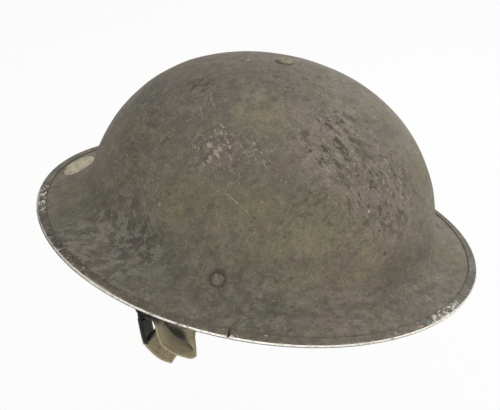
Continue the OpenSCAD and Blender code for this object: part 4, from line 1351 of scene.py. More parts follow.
@dataclass
class RimBand:
    """The folded steel strip over the edge, butted on the wearer's left and spot welded."""

    form: ShellForm = field(default_factory=ShellForm)
    flange: float = 5.4
    wall: float = 0.5
    gap: float = 0.1
    joint_at: float = 7.0
    joint_gap: float = 0.5

    def section(self, bare_at: float) -> tuple[Array, Array]:
        """The strip's section from the shell's edge, and each corner's nearness to the bare line.

        Args:
            bare_at: where the bare line runs on the nose, in degrees above its middle.

        Returns:
            Corners of the closed section, and the nearness of each.
        """
        low, top = -self.form.wall - self.gap, self.gap + self.wall
        middle, inner_r = (self.gap + low) / 2, (self.gap - low) / 2
        outer_r, centre, tip = inner_r + self.wall, self.gap - inner_r + 0.05, -self.flange + 0.05
        rows = [(-self.flange, top - 0.12, 0.0), (-4.2, top, 0.0), (-3.0, top, 0.0), (-2.0, top, 0.12),
                (-1.2, top, 0.25)]
        rows += [(centre + outer_r * cos(radians(a)), middle + outer_r * sin(radians(a)),
                  max(0.3 if a > 0 else 0.0, 1 - abs(a - bare_at) / 75)) for a in np.linspace(90, -90, 19)]
        rows += [(e, low - self.wall, 0.05) for e in (-1.2, -2.5, -4.0)]
        rows += [(-self.flange, low - self.wall + 0.1, 0.05)] + [(e, low, 0.0) for e in (tip, -3.0, -1.2)]
        rows += [(centre + inner_r * cos(radians(a)), middle + inner_r * sin(radians(a)), 0.0)
                 for a in np.linspace(-90, 90, 7)]
        rows = np.array(rows + [(e, self.gap, 0.0) for e in (-1.2, -3.0, tip)])
        return rows[:, :2], rows[:, 2]

    def build(self) -> None:
        """Builds the strip with its open joint."""
        section, nose = self.section(35.0)
        gap = degrees(self.joint_gap / 2 / self.form.rim_x)
        t = np.radians(np.linspace(self.joint_at + gap, self.joint_at + 360 - gap, 560))
        edge = self.form.rim(t)
        out = unit(edge - self.form.flare_end(t))
        up = -self.form.inward(t, np.full_like(t, 2.9))
        wander = 0.5 * soft_noise(edge, 14, 5.0) + 0.3 * soft_noise(edge, 4, 6.0)
        dents = 0.22 * soft_noise(edge, 7, 7.0)
        flange = np.clip((-section[:, 0] - 3.0) / 2.4, 0, 1)
        reach = section[None, :, 0] - wander[:, None] * flange[None]
        pinch = dents[:, None] * np.clip(nose[None] * 1.2, 0, 1)
        points = edge[:, None] + out[:, None] * (reach - np.abs(pinch))[..., None] + up[:, None] * section[:, 1:]
        # The strip's ends lie a little proud where they meet
        ends = np.exp(-np.minimum(np.arange(len(t)), np.arange(len(t))[::-1]) / 2.0)
        points = points + up[:, None] * (0.12 * ends[:, None] * (section[None, :, 1] > 0))[..., None]
        # The bare line is broad beside the near front, and higher and thinner across the front
        turn = (np.degrees(t) + 180) % 360 - 180
        width = 1 + 0.15 * np.exp(-((turn + 24) / 8) ** 2) - 0.36 * np.exp(-((turn + 68) / 34) ** 4)
        high = np.exp(-((turn + 65) / 42) ** 4)[:, None]
        line = width[:, None] * (nose * (1 - high) + self.section(68.0)[1] * high)
        # Corners on the strip's underside, which its paint darkens as painted shade
        under = np.tile(np.clip((-0.45 - section[:, 1]) / 0.25, 0, 1), len(t))
        faces = net(len(t), len(section)) + tube_ends(len(t), len(section))
        piece = mesh_piece("rim_band_strip", (points.reshape(-1, 3), faces), BandPaint().material(), 50,
                           nose=line.ravel(), under=under)
        settle(piece, HELMET, "steel_paint", "rim_band")


# Fastenings

@dataclass
class LugRivets:
    """The rivet of each lug: a flush head with a raised middle outside, a domed clinch on the lug inside."""

    profile: tuple[tuple[float, float], ...] = (
        (0, -0.02), (1.6, -0.05), (2.8, -0.13), (3.3, -0.24), (3.55, -0.52), (3.95, -0.6), (4.35, -0.55), (4.6, -0.44),
        (4.75, -0.5), (4.8, -0.85), (2.5, -0.9), (2.5, -3.7), (3.9, -3.92), (4.15, -4.15), (4.0, -4.5), (3.2, -4.78),
        (1.8, -4.88), (0, -4.9))

    def build(self) -> None:
        """Builds both rivets as one piece."""
        parts = []
        for side in (1, -1):
            points, faces = lathe(self.profile, 72)
            points = points + 0.12 * soft_noise(points, 3, 4.0 + side)[:, None] * np.array([0.6, 0.6, 0.5])
            parts.append((placed(points, lug_matrix(side)), faces if side < 0 else flipped(faces)))
        settle(mesh_piece("lug_rivet_heads", join_parts(parts), RivetPaint().material(), 70),
               HELMET, "steel_paint", "lug_rivets")


@dataclass
class CrownScrew:
    """The crown screw: a low round head with a slot along X, and its shank down to the nut."""

    head_height: float = 1.6
    slot: float = 1.2
    slot_deep: float = 0.75
    shank: float = 2.5
    screw_end: float = 100.95

    def build(self, crown: float) -> None:
        """Builds the screw.

        Args:
            crown: height of the shell's top.
        """
        top, around = crown + 0.02 + self.head_height, 96
        profile = [(0.01, 0.0), (1.2, 0.0), (2.6, -0.03), (3.9, -0.1), (4.9, -0.24), (5.5, -0.45), (5.85, -0.75),
                   (6.0, -1.15), (5.98, -1.5), (5.8, -1.6), (self.shank, -1.6), (self.shank, self.screw_end - top)]
        points = ovals([(r, r, top + drop) for r, drop in profile], around)
        faces = flipped(net(len(profile), around) + tube_ends(len(profile), around))
        coat = BrushedPaint(
            name="crown_screw_paint", base="#756E60",
            # The pale olive stain lightens the head; the small pale stain on its +X edge is a painted highlight where
            # that edge catches the light
            stains=marks(Stain, (PALE_OLIVE, (0, 0, top), 9, 0.6), ("#A89F84", (5, 1, top - 1), 4, 0.7)),
            wear=marks(Wear, (DARK, (0, 0, top), 12, (1, 0, 0), 2.0, 1.6, 0.58, 0.64, 0.4, 0.05),
                       (DUST, (2, -2, top), 8, (1, 0, 0), 1.6, 1.4, 0.56, 0.66, 0.6)))
        piece = mesh_piece("crown_screw_head", (points, faces), coat.material(), 50)
        cut = piece.modifiers.new("slot", "BOOLEAN")
        cut.operation, cut.object, cut.solver = "DIFFERENCE", self.slot_cutter(top, piece.data.materials[0]), "EXACT"
        cutter = cut.object
        apply_modifiers(piece)
        bpy.data.objects.remove(cutter)
        settle(piece, HELMET, "steel_paint", "crown_screw")

    def slot_cutter(self, top: float, material: Material) -> Object:
        """The bar whose shape is cut from the head as its slot.

        Args:
            top: height of the head's top.
            material: the head's finish.

        Returns:
            The bar.
        """
        half = self.slot / 2
        corners = [(-8, y, z) for y, z in ((-half, top - self.slot_deep), (half, top - self.slot_deep),
                                           (half + 0.06, top + 1), (-half - 0.06, top + 1))]
        points = np.array(corners + [(-x, y, z) for x, y, z in corners])
        faces = [[3, 2, 1, 0], [4, 5, 6, 7], [0, 1, 5, 4], [1, 2, 6, 5], [2, 3, 7, 6], [3, 0, 4, 7]]
        return mesh_piece("slot_bar", (points, faces), material)


# Liner

@dataclass
class Sweatband:
    """Oilcloth band against the head, stitched to the headband's lower edge and rippled where it is free."""

    x: float = 81.0
    y: float = 101.0
    wall: float = 1.6
    low: float = 1.0
    high: float = 35.0

    def build(self) -> None:
        """Builds the band."""
        around = 300
        turn = np.linspace(0, 2 * np.pi, around, endpoint=False)
        rows = []
        for z in np.linspace(self.low + 0.6, self.high - 0.5, 18):
            free = np.clip((z - self.low - 6) / 26, 0, 1)
            ripple = 0.35 * free * (np.sin(turn * 23 + 0.7 * np.sin(3 * turn)) + 0.6 * np.sin(turn * 37 + 2))
            inset = self.wall / 2 + 0.35 + np.maximum(0, -ripple) * 0.6 + 0.25 * free
            rows.append(ovals([(self.x - inset, self.y - inset, z)], around))
        rows = np.stack(rows, 1)
        normal = unit(np.cross(headings(rows, closed=True), np.gradient(rows, axis=1)))
        points, faces, _ = strip(rows, np.tile([0, 0, 1.0], (around, 1)), normal, 0.55, closed=True)
        piece = mesh_piece("sweatband_cloth", (points, faces), OilCloth(name="sweatband_oilcloth").material(), 50)
        settle(piece, HELMET, "oilcloth", "sweatband")


@dataclass
class Tongues:
    """Eight oilcloth tongues that rise from the headband and are hemmed round the crown lace."""

    foot: float = 24.0
    x: float = 79.1
    y: float = 99.1
    mouth: float = 30.0
    height: float = 62.0
    thick: float = 1.0
    lace_x: float = 28.05
    lace_z: float = 86.0
    hem_radius: float = 2.05

    def path(self) -> tuple[Array, Array]:
        """The middle of a tongue, from its foot up, over the lace and back along its underside.

        Returns:
            Distance from the axis along X and height, and the share of the way up (above 1 in the hem).
        """
        end = acos(self.mouth / self.x)
        rise = self.height / sin(end)
        b = np.linspace(0, end * 0.94, 40)
        climb = np.stack([(self.x - 0.6) * np.cos(b), self.foot + (rise - 0.6) * np.sin(b)], 1)
        # The hem: up over the lace, round it and back under the tongue
        lace = np.array([self.lace_x, self.lace_z])
        hem = [lace + self.hem_radius * np.array([cos(a), sin(a)])
               for a in np.radians([78, 105, 132, 159, 186, 213, 240, 266])]
        back = [lace + step for step in ((3.2, -2.7), (6.6, -4.2), (10.2, -5.9))]
        share = np.concatenate([b / end, np.linspace(0.98, 1.2, len(hem) + len(back))])
        return np.concatenate([climb, hem, back]), share

    def tongue(self, number: int) -> tuple[Solid, tuple[float, float], float]:
        """One tongue.

        Args:
            number: 0 to 7, round the helmet from the wearer's left towards the back.

        Returns:
            Its shape, its flat width and length, and its flat area.
        """
        way, share = self.path()
        across = np.linspace(-1, 1, 25)
        phase = 0.9 * number
        grid = np.zeros((len(way), len(across), 3))
        for i, ((r, z), v) in enumerate(zip(way, share)):
            half = 22.5 * (0.94 - 0.14 * min(v, 1)) - (1.5 if v > 1.02 else 0)
            turn = np.radians(45 * (number + 0.5) + half * across)
            # Gathers: the cloth ripples more the nearer it is to the lace
            gather = np.clip((v - 0.35) / 0.6, 0, 1) ** 2
            ripple = gather * (0.75 * np.cos(across * 9.5 + phase) + 0.4 * np.cos(across * 17 - phase))
            sag = -0.8 * sin(pi * min(v, 1)) * (1 - across ** 2)
            lift = ripple * (1 if v <= 1 else 0.15) * 0.8 + sag * 0.6
            out = r + lift * 0.5
            grid[i] = np.stack([out * np.cos(turn), out * self.y / self.x * np.sin(turn), z + lift * 0.7 * gather], 1)
        side = np.gradient(grid, axis=1)
        points, faces, _ = strip(grid, unit(side), unit(np.cross(headings(grid), side)), self.thick / 2)
        along = lengths(grid[:, 12])
        widths = np.array([lengths(row)[-1] for row in grid])
        area = float(np.sum((widths[1:] + widths[:-1]) / 2 * np.diff(along)))
        return (points, faces), (float(widths.max()), float(along[-1])), area

    def build(self) -> None:
        """Builds the tongues, then the stitches that close their hems, on the side that faces the head."""
        finish, thread = OilCloth(name="tongue_oilcloth").material(), LinenThread().material()
        stitches = []
        # A stitch is a spindle 1.6 mm long with its ends pressed in
        spindle = lathe([(0, -0.8)] + [(0.28 * cos(a) ** 0.7, 0.8 * sin(a))
                                       for a in np.radians([-60, -30, 0, 30, 60])] + [(0, 0.8)], 8)
        for number in range(8):
            solid, (width, length), area = self.tongue(number)
            piece = settle(mesh_piece(f"tongue_{number + 1}", solid, finish), HELMET, "oilcloth", "crown_tongues")
            for across in np.linspace(-0.8, 0.8, 9):
                turn, r = radians(45 * (number + 0.5) + 16.5 * across), self.lace_x + 7.4
                place = Vector((r * cos(turn), r * self.y / self.x * sin(turn), self.lace_z - 5.4))
                way = Vector((-sin(turn), cos(turn) * self.y / self.x, 0)).normalized()
                lean = Vector((0, 0, 1)).rotation_difference(way).to_matrix().to_4x4()
                stitches.append((placed(spindle[0], Matrix.Translation(place) @ lean), spindle[1]))
        settle(mesh_piece("tongue_stitches", join_parts(stitches), thread, 40), HELMET, "oilcloth")


@dataclass
class Lace:
    """The braided lace through the tongues' hems, knotted at the back with two short tails."""

    x: float = 28.05
    ratio: float = 99.1 / 79.1
    z: float = 86.0
    radius: float = 1.2
    tail: float = 16.0

    def build(self) -> None:
        """Builds the ring, the knot and the tails as one piece."""
        turn = np.linspace(0, 2 * np.pi, 240, endpoint=False)
        out = self.x + 0.25 * np.sin(turn * 8)
        ring = np.stack([out * np.cos(turn), out * self.ratio * np.sin(turn), self.z + 0.2 * np.cos(turn * 8)], 1)
        knot = np.array([0, self.x * self.ratio, self.z])
        # An overhand knot: one and a half turns round the ring, drawn tight
        s = np.linspace(0, 1, 60)
        loop = np.stack([3.4 * np.cos(2.5 * np.pi * s + 0.5) * (0.55 + 0.5 * s), 1.9 * np.sin(3 * np.pi * s) - 0.6,
                         2.1 * np.sin(2.5 * np.pi * s + 0.5) - 0.6], 1)
        cords = [round_tube(ring, self.radius, closed=True), round_tube(knot + loop, self.radius * 0.95)]
        s = np.linspace(0, 1, 24)
        for side in (-1, 1):
            tail = np.stack([side * (1.0 + 4.2 * s + 1.4 * np.sin(3 * s)), -1.5 - 3.6 * s + 1.2 * np.sin(4 * s + side),
                             -1.5 - self.tail * 0.86 * s * (0.6 + 0.4 * s)], 1)
            cords.append(round_tube(knot + tail, self.radius * 0.92))
        piece = mesh_piece("crown_lace", join_parts(cord[:2] for cord in cords), BraidedLace().material(),
                           place=np.concatenate([cord[2] for cord in cords]))
        settle(piece, HELMET, "cord", "lace")


@dataclass
class CrownPad:
    """The felt pad under the crown screw, swollen at its middle and matted at its edge."""

    half_x: float = 40.0
    half_y: float = 32.0
    low: float = 93.65
    high: float = 100.65
    most: float = 1.4

    def swell(self, piece: Object) -> None:
        """Swells the pad by cloth simulation, within the room that its CAD solid has.

        Args:
            piece: the pad.
        """
        remesh = piece.modifiers.new("even", "REMESH")
        remesh.mode, remesh.voxel_size = "VOXEL", 2.2 * MM
        apply_modifiers(piece)
        rest = np.array([v.co[:] for v in piece.data.vertices]) / MM
        cloth = piece.modifiers.new("swell", "CLOTH")
        cloth.settings.use_pressure = True
        cloth.settings.uniform_pressure_force = 3.0
        cloth.settings.effector_weights.gravity = 0.0
        for step in range(1, 13):
            bpy.context.scene.frame_set(step)
        apply_modifiers(piece)
        bpy.context.scene.frame_set(1)
        now = np.array([v.co[:] for v in piece.data.vertices]) / MM
        far = np.linalg.norm(now - rest, axis=1, keepdims=True)
        now = rest + (now - rest) * np.minimum(1, self.most / np.maximum(far, 1e-9))
        grain = 0.35 * soft_noise(now, 7, 2.0) + 0.3 * soft_noise(now, 2.5, 3.0)
        now += unit(now - [0, 0, (self.low + self.high) / 2]) * grain[:, None]
        now[:, 2] = np.clip(now[:, 2], self.low + 0.02, self.high - 0.02)
        now[:, :2] /= np.maximum(1, np.hypot(now[:, 0] / self.half_x, now[:, 1] / self.half_y))[:, None]
        piece.data.vertices.foreach_set("co", (now * MM).ravel())
        piece.data.shade_smooth()

    def build(self) -> None:
        """Builds the pad from a closed oval slab, a little smaller than the CAD's."""
        middle = (self.low + self.high) / 2
        rings = [(self.half_x * share, self.half_y * share, middle + rise) for share, rise in (
            (0.3, -2.1), (0.62, -2.1), (0.86, -2.0), (0.94, -1.4), (0.965, 0.0), (0.94, 1.4), (0.86, 2.0),
            (0.62, 2.1), (0.3, 2.1))]
        solid = ovals(rings, 72), net(len(rings), 72) + tube_ends(len(rings), 72)
        piece = mesh_piece("crown_felt", solid, WoolFelt().material(), 80)
        self.swell(piece)
        settle(piece, HELMET, "felt", "crown_pad")


# Chinstrap

FOLD_X, FOLD_Z, FOLD_TILT = 81.0, -60.0, radians(7)
FOLD_WIDTH = np.array([cos(FOLD_TILT), 0, sin(FOLD_TILT)])
BUCKLE_Y, BUCKLE_Z, BUCKLE_LEAN = -46.4, -50.0, radians(20)
BAR_WORLD = np.array([99.5504, 0, -5.79691])
TAB_DIR = np.array([-0.5, 0, -sqrt(0.75)])
TAB_JOIN = 12.3
Station = tuple[Array, Array]


def folded(y: float, z: float) -> Station:
    """A point of the bunched webbing below the near brim, and its width's direction, for a place before its tilt."""
    rise = z - FOLD_Z
    return np.array([FOLD_X - rise * sin(FOLD_TILT), y, FOLD_Z + rise * cos(FOLD_TILT)]), FOLD_WIDTH


def on_bar(along: float, turn: float, wrap: float = 2.5) -> Station:
    """A point of the webbing where it wraps a bar of the buckle, and its width's direction.

    Args:
        along: the bar's place up the buckle.
        turn: degrees round the bar.
        wrap: radius of the webbing's middle.

    Returns:
        The point and the direction.
    """
    a = radians(turn)
    up, out = (-sin(BUCKLE_LEAN), cos(BUCKLE_LEAN)), (-cos(BUCKLE_LEAN), -sin(BUCKLE_LEAN))
    y, z = (centre + u * along + o * wrap * cos(a) + u * wrap * sin(a)
            for centre, u, o in zip((BUCKLE_Y, BUCKLE_Z), up, out))
    return folded(y, z)


def mirrored(v: Array) -> Array:
    """A point or direction on the other side of the helmet."""
    return v * np.array([-1, 1, 1])


def in_weave(across: Array, run: Array, tags: Array, half_width: float) -> Array:
    """Each corner's place in the weave, across and along the webbing.

    Args:
        across: the columns, from -1 to 1.
        run: distance along the webbing at each row.
        tags: column and row of each corner.
        half_width: half of the webbing's width.

    Returns:
        The places.
    """
    return np.stack([across[tags[:, 0]] * half_width, run[tags[:, 1]], np.zeros(len(tags))], 1)


@dataclass
class Webbing:
    """A length of chinstrap webbing along its route, smooth through its points."""

    name: str
    route: list[Station]
    half_width: float = 9.5
    half_thick: float = 0.8
    steps: int = 12
    ease: int = 24
    frayed: float = 0.0
    fray_at: float = 50.0
    fray_reach: float = 9.0
    skewed: tuple[int, int] = (0, 0)
    skew_ease: int = 10

    def smooth(self, pick: int) -> Array:
        """The route's places (0) or width directions (1), rounded through its points.

        Args:
            pick: which of the two.

        Returns:
            One row for each station.
        """
        values = np.array([point[pick] for point in self.route], float)
        last = len(values) - 1
        rows = []
        for i in range(last):
            a, b, c, d = values[max(i - 1, 0)], values[i], values[min(i + 1, last)], values[min(i + 2, last)]
            for f in np.arange(self.steps) / self.steps:
                rows.append(((2 * b) + (c - a) * f + (2 * a - 5 * b + 4 * c - d) * f * f
                             + (3 * b - a - 3 * c + d) * f ** 3) / 2)
        return np.array(rows + [values[last]])

    def build(self, finish: CottonWebbing, node: str) -> Object:
        """Builds the webbing.

        Args:
            finish: its material.
            node: the CAD node that it stands for.

        Returns:
            The piece.
        """
        places, widths = self.smooth(0), self.smooth(1)
        last = len(places) - 1
        number = np.arange(last + 1)
        along = unit(places[np.minimum(number + 1, last)] - places[np.maximum(number - 1, 0)])
        # Doubled over on a slant, the webbing's width is no longer square to its run
        slant = (np.clip((number - self.skewed[0]) / self.skew_ease, 0, 1)
                 * np.clip((self.skewed[1] - number) / self.skew_ease, 0, 1))
        square = np.minimum(1, np.minimum(number, last - number) / self.ease)[:, None] * (1 - slant[:, None])
        width_way = unit(widths - along * np.sum(widths * along, 1, keepdims=True) * square)
        normal = unit(np.cross(along, width_way))[:, None]
        across = np.linspace(-1, 1, 15)
        cup = (0.14 * (1 - across ** 2) - 0.07)[None] * (0.6 + 0.25 * soft_noise(places, 14, 2.0)[:, None])
        # Stretched and frayed out at one edge where the strap is doubled over
        run = lengths(places)
        fray = (self.frayed * np.exp(-((run - self.fray_at) / self.fray_reach) ** 2))[:, None]
        reach = across[None] * (self.half_width - 0.45) + fray * np.minimum(across, 0)[None]
        grid = places[:, None] + width_way[:, None] * reach[..., None] + normal * cup[..., None]
        points, faces, tags = strip(grid, width_way, np.repeat(normal, len(across), 1), self.half_thick * 0.94)
        piece = mesh_piece(self.name, (points, faces), finish.material(), 70,
                           place=in_weave(across, run, tags, self.half_width))
        return settle(piece, CHINSTRAP, "webbing", node)


def turned_webbing(bar: Array, way: Array, width: Array,
                   length: float) -> Mapped:
    """Webbing turned round a bar and laid back on itself.

    Args:
        bar: middle of the bar.
        way: unit vector from the bar along the strap.
        width: unit vector along the bar.
        length: how far both layers run.

    Returns:
        Corners, faces, and each corner's place in the weave.
    """
    side, radius, apart, parting = unit(np.cross(width, way)), 2.5, 0.81, 6.0
    layer = [(d, apart) for d in np.linspace(length, parting, 6)]
    layer += [(d, apart + (radius - apart) * sin((parting - d) / parting * pi / 2))
              for d in np.linspace(4.6, 2.2, 3)]
    path = [way * d + side * off for d, off in layer]
    path += [side * radius * cos(a) - way * radius * sin(a) for a in np.linspace(-0.2, pi + 0.2, 20)]
    path += [way * d - side * off for d, off in layer[::-1]]
    places, across = bar + np.array(path), np.linspace(-1, 1, 11)
    widths = np.repeat(width[None], len(places), 0)
    normal = unit(np.cross(unit(headings(places)), widths))
    grid = places[:, None] + width * (across * 9.05)[None, :, None]
    points, faces, tags = strip(grid, widths, np.repeat(normal[:, None], 11, 1), 0.74)
    return points, faces, in_weave(across, lengths(places), tags, 9.5)


@dataclass
class Chinstrap:
    """Both lengths of webbing, the loops round the lugs' bars and the buckle's top bar, and the slide buckle."""

    bar_diameter: float = 2.8
    buckle_width: float = 26.4
    buckle_reach: float = 22.5
    buckle_corner: float = 2.6
    middle_bar: float = 3.6

    def left_route(self) -> list[Station]:
        """The near strap: down from the left lug, doubled over below the brim, through the buckle and back."""
        join, y = BAR_WORLD + TAB_DIR * TAB_JOIN, (0, 1.0, 0)
        free = [((84.5, -7, -29.5), y), ((79.5, -16, -39.4), y), ((77, -22.5, -47.6), (0, 1.0, 0.15)),
                ((77, -22, -54.2), (0.4, 0.92, 0.4)), ((78.8, -18.6, -58.4), (0.62, 0.71, 0.4)),
                ((81, -12.8, -60.6), (0.93, 0.36, 0.11)), ((81.2, -14.6, -63.4), (0.96, 0.26, 0.12))]
        laid = [(-18, -63.4), (-25, -62.8), (-31.5, -60.1), (-36, -54), (-38.4, -47.5), (-42.5, -43.2)]
        wraps = [(3.6, 80), (3.6, 30), (3.6, -10), (-11.25, 10), (-11.25, -50)]
        back = [(-39, -66.2), (-33.5, -69.2), (-28.5, -70.3), (-24, -70.3)]
        return ([(join, y), (join + TAB_DIR * 5, y)] + free + [folded(*p) for p in laid]
                + [on_bar(*p) for p in wraps] + [folded(*p) for p in back])

    def right_route(self) -> list[Station]:
        """The far strap: down from the right lug, round the front and up to the buckle's top bar."""
        join, y = mirrored(BAR_WORLD + TAB_DIR * TAB_JOIN), (0, -1.0, 0)
        round_front = [((-84.5, -7, -29), (0, -0.95, 0.3)), ((-81, -22, -34), (0, -0.75, 0.66)),
                       ((-72, -44, -36), (0, -0.35, 0.94)), ((-54, -66, -36), (0, 0, 1)), ((-28, -82, -35), (0, 0, 1)),
                       ((4, -90, -33), (0, 0, 1)), ((34, -89, -31), (0, 0, 1)), ((58, -81, -28), (0.3, -0.1, 0.95)),
                       ((73, -70, -26), (0.8, -0.2, 0.5))]
        return ([(join, y), (join + mirrored(TAB_DIR) * 5, y)] + round_front
                + [(self.top_bar() + self.top_way() * reach, FOLD_WIDTH) for reach in (16, 11)])

    def top_bar(self) -> Array:
        """Middle of the buckle's top bar."""
        lift = self.buckle_reach / 2
        return folded(BUCKLE_Y - sin(BUCKLE_LEAN) * lift, BUCKLE_Z + cos(BUCKLE_LEAN) * lift)[0]

    def top_way(self) -> Array:
        """Unit vector from the buckle's top bar along the far strap, 35 degrees forward of the fold's own up."""
        up, turn = np.array([-sin(FOLD_TILT), 0, cos(FOLD_TILT)]), radians(35)
        return up * cos(turn) - np.array([0, sin(turn), 0])

    def loops(self) -> None:
        """The loops round the lugs' bars and the loop on the buckle."""
        finish = CottonWebbing(name="end_webbing")
        for name, over in (("left", np.array), ("right", mirrored)):
            bar, way = over(BAR_WORLD), over(TAB_DIR)
            *solid, place = turned_webbing(bar, way, np.array([0, 1.0, 0]), 12.0)
            piece = mesh_piece(f"strap_turn_{name}", solid, finish.material(), place=place)
            settle(piece, "", "webbing", f"strap_end_{name}")
            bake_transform(piece)
        # Painted shade on the loop round the buckle's top bar, in the buckle's shadow
        finish = CottonWebbing(name="turn_webbing", painted_shade=((0, 15.0, 34.0, 0.94),))
        *solid, place = turned_webbing(self.top_bar(), self.top_way(), FOLD_WIDTH, 11.0)
        settle(mesh_piece("strap_turn_buckle", solid, finish.material(), place=place), CHINSTRAP, "webbing")

    def buckle(self) -> None:
        """The slide buckle: a bent wire frame with three bars, in black lacquer."""
        half, reach = (self.buckle_width - self.bar_diameter) / 2, self.buckle_reach / 2
        radius, corner = self.bar_diameter / 2, self.buckle_corner
        outline = np.array([(cx * (half - corner) + corner * cos(a), 0, cz * (reach - corner) + corner * sin(a))
                            for cx, cz, first in ((1, 1, 0), (-1, 1, 90), (-1, -1, 180), (1, -1, 270))
                            for a in np.radians(np.linspace(first, first + 90, 9))])
        dense = []
        for a, b in zip(outline, np.roll(outline, -1, 0)):
            # A straight side gets eight corners, a step round a corner one
            parts = 8 if np.linalg.norm(b - a) > 3 else 1
            dense += [a + (b - a) * f for f in np.linspace(0, 1, parts, endpoint=False)]
        wire, wire_faces, _ = round_tube(np.array(dense), radius, 18, closed=True)
        # Stamped flat: the frame is a little thinner through than across
        wire[:, 1] *= 0.8
        bar = round_tube(np.array([[x, 0, self.middle_bar] for x in np.linspace(-half, half, 14)]), radius, 18)
        points, faces = join_parts([(wire, wire_faces), bar[:2]])
        points = points + 0.1 * soft_noise(points, 4, 8.0)[:, None] * np.array([0.5, 1, 0.5])
        place = (Matrix.Translation(folded(BUCKLE_Y, BUCKLE_Z)[0]) @ Matrix.Rotation(-FOLD_TILT, 4, "Y")
                 @ Matrix.Rotation(BUCKLE_LEAN, 4, "X"))
        piece = mesh_piece("slide_buckle", (placed(points, place), faces), BlackLacquer().material())
        settle(piece, CHINSTRAP, "buckle_black", "strap_buckle")

    def build(self) -> None:
        """Builds the chinstrap."""
        near = Webbing("strap_near", self.left_route(), frayed=6.5, skewed=(42, 116))
        runs = lengths(near.smooth(0))
        # The webbing lies behind the buckle from the route's point 14 to its point 18
        run, first, last = runs[-1], runs[14 * near.steps], runs[18 * near.steps]
        # Painted shade: near black behind the buckle, dark in the fold where the strap is doubled over, and faint
        # where it hangs under the brim
        near.build(CottonWebbing(
            name="near_webbing", stitched=((1.5, 12.0), (run - 7.5, run - 2.0)),
            painted_shade=((0, (first + last) / 2 - 4, (last - first) / 2 + 8, 0.95), (-12.5, 55.5, 17.5, 0.96),
                   (2, 38, 22, 0.35))), "strap_left")
        far = Webbing("strap_far", self.right_route())
        run = lengths(far.smooth(0))[-1]
        # Painted shade on the far strap's end, where it reaches the buckle
        far.build(CottonWebbing(name="far_webbing", stitched=((1.5, 12.0), (run - 12.0, run - 1.5)),
                                painted_shade=((0, run, 22.0, 0.94),)), "strap_right")
        self.loops()
        self.buckle()


# Parts that keep their CAD shape

@dataclass
class Fittings:
    """The liner's hard parts and the lugs, whose CAD shapes are right: finishes and eased edges."""

    def dress(self, finish: Finish, **nodes: float) -> None:
        """Gives CAD nodes a finish and rounds their sharp edges.

        Args:
            finish: the finish.
            **nodes: width of the rounding for each node, in millimetres.
        """
        material = finish.material()
        for node, bevel in nodes.items():
            part = bpy.data.objects[node]
            part.data.materials.clear()
            part.data.materials.append(material)
            ease = part.modifiers.new("eased_edges", "BEVEL")
            ease.width, ease.segments, ease.limit_method = bevel * MM, 2, "ANGLE"
            ease.angle_limit, ease.use_clamp_overlap, ease.harden_normals = radians(40), True, False
            LOG.info("%s: CAD shape, %s", node, material.name)

    def build(self) -> None:
        """Dresses the nodes."""
        self.dress(FibreBoard(), headband=0.25, liner_band_side=0.25, liner_band_long=0.25)
        self.dress(FibreBoard(name="fibre_washer", base="#5A3A2C"), crown_washer=0.2)
        self.dress(BareSteel(), lower_washer=0.15)
        self.dress(TarnishedBrass(), crown_nut=0.3, buffer_rivets=0.2, band_rivets=0.2)
        self.dress(AgedRubber(), buffers=0.6)
        rust = [(RUST, (x, 0, 5), 30, (0, 1, 0), 3.0, 1.4, 0.54, 0.64, 0.7, 0.06) for x in (104, -104)]
        lug_paint = BrushedPaint(name="lug_paint", base="#5E5949", wear=marks(Wear, *rust))
        self.dress(lug_paint, lug_left=0.25, lug_right=0.25)


# Studio

def seen_directly(tree: bpy.types.NodeTree) -> Socket:
    """The share of a ray that comes from the camera or by way of a mirror or glass.

    Args:
        tree: the node tree that asks.

    Returns:
        1 for such a ray, or else 0.
    """
    rays = add_node(tree, "LightPath").node.outputs
    mirror = add_node(tree, "Math", {0: rays["Is Glossy Ray"], 1: rays["Is Transmission Ray"]}, operation="MAXIMUM")
    return add_node(tree, "Math", {0: rays["Is Camera Ray"], 1: mirror}, operation="MAXIMUM")


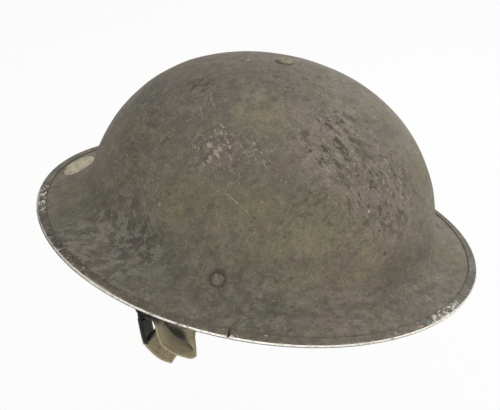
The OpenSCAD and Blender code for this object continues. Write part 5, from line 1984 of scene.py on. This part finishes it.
@dataclass
class Studio:
    """The camera, the pale floor and backdrop, and soft light from above and behind the camera's right."""

    place: Point = (503.96, 84.59, 262.75)
    right: Point = (-0.24915, 0.95700, 0.14858)
    up: Point = (-0.40096, -0.24158, 0.88367)
    back: Point = (0.88157, 0.16059, 0.44390)
    lens: float = 59.06
    floor: float = -255.0
    white: tuple[float, float, float, float] = (1.0, 1.0, 1.0, 1.0)

    def camera(self) -> None:
        """Sets up the camera at the photograph's place."""
        data = bpy.data.cameras.new("view")
        data.lens, data.sensor_width, data.sensor_fit = self.lens, 36.0, "HORIZONTAL"
        data.clip_start, data.clip_end = 0.02, 30.0
        view = bpy.data.objects.new("view", data)
        bpy.context.scene.collection.objects.link(view)
        turn = Matrix((self.right, self.up, self.back)).transposed().to_4x4()
        view.matrix_world = Matrix.Translation(Vector(self.place) * MM) @ turn
        bpy.context.scene.camera = view

    def light(self, name: str, place: Point, power: float, colour: str) -> None:
        """Adds a soft lamp 1.6 m wide that faces the helmet.

        Args:
            name: its name.
            place: its place in metres.
            power: its power in watts.
            colour: sRGB hex.
        """
        data = bpy.data.lights.new(name, "AREA")
        data.shape, data.size, data.energy, data.color = "DISK", 1.6, power, srgb(colour)[:3]
        lamp = bpy.data.objects.new(name, data)
        lamp.location = place
        lamp.rotation_euler = (Vector((0, 0, 0.02)) - Vector(place)).to_track_quat("-Z", "Y").to_euler()
        bpy.context.scene.collection.objects.link(lamp)

    def floor_and_backdrop(self) -> None:
        """Lays the floor, which runs up into a backdrop."""
        profile = [(-2.6, 0.0)] + [(1.6 + 0.8 * sin(a), 0.8 - 0.8 * cos(a))
                                   for a in np.radians(range(0, 91, 6))] + [(2.4, 3.2)]
        toward = -np.array(self.back[:2]) / hypot(*self.back[:2])
        side = np.array([-toward[1], toward[0]])
        rows = []
        for run, rise in profile:
            for across in (-4.0, -1.5, 1.5, 4.0):
                x, y = toward * run + side * across
                rows.append((x / MM, y / MM, self.floor + rise / MM))
        faces = flipped(net(len(profile), 4, closed_columns=False))
        mesh_piece("paper_sweep", (np.array(rows), faces), self.paper(), 180)

    def paper(self) -> Material:
        """White paper: it keeps the helmet's shadow, and the camera and mirrors see it white.

        Returns:
            The material.
        """
        paper = Layers("white_paper", "#F6F5F3", 0.9)
        material = paper.done()
        output = next(node for node in paper.tree.nodes if node.type == "OUTPUT_MATERIAL")
        lit = output.inputs["Surface"].links[0].from_socket
        white = paper.add("Emission", {"Color": self.white, "Strength": 1.0})
        share = paper.add("Math", {0: seen_directly(paper.tree), 1: 0.88}, operation="MULTIPLY")
        both = paper.add("MixShader", {0: share, 1: lit, 2: white})
        # From below the paper is clear, so that the liner can be looked at
        under = paper.add("NewGeometry", out="Backfacing")
        one_sided = paper.add("MixShader", {0: under, 1: both, 2: paper.add("BsdfTransparent")})
        paper.tree.links.new(one_sided, output.inputs["Surface"])
        return material

    def world(self) -> None:
        """Fills in from all round with a pale grey sky, and shows the camera the white of the backdrop."""
        world = bpy.data.worlds.new("studio")
        bpy.context.scene.world = world
        world.use_nodes = True
        tree = world.node_tree
        tree.nodes.clear()
        fill = add_node(tree, "Background", {"Color": srgb("#F2F4F8"), "Strength": 0.245})
        white = add_node(tree, "Background", {"Color": self.white, "Strength": 1.0})
        both = add_node(tree, "MixShader", {0: seen_directly(tree), 1: fill, 2: white})
        add_node(tree, "OutputWorld", {"Surface": both})

    def build(self) -> None:
        """Builds the studio."""
        bpy.context.scene.view_settings.view_transform = "Standard"
        self.camera()
        self.world()
        self.floor_and_backdrop()
        self.light("front", (1.94, 0.35, 0.98), 19.4, "#FFFDF8")
        self.light("top", (-0.49, -0.46, 2.1), 12.3, "#FFFFFF")
        self.light("upper_rear", (-1.55, 0.81, 1.34), 16.7, "#FFFFFF")
        self.light("rear", (-0.39, 2.0, 0.8), 12.3, "#FFFBF2")


def main() -> None:
    """Builds everything."""
    logging.basicConfig(level=logging.INFO, format="%(name)s: %(message)s")
    Studio().build()
    shell = Shell()
    shell.build()
    RimBand().build()
    LugRivets().build()
    CrownScrew().build(shell.form.crown)
    Sweatband().build()
    Tongues().build()
    Lace().build()
    CrownPad().build()
    Chinstrap().build()
    Fittings().build()


if __name__ == "__main__":
    main()
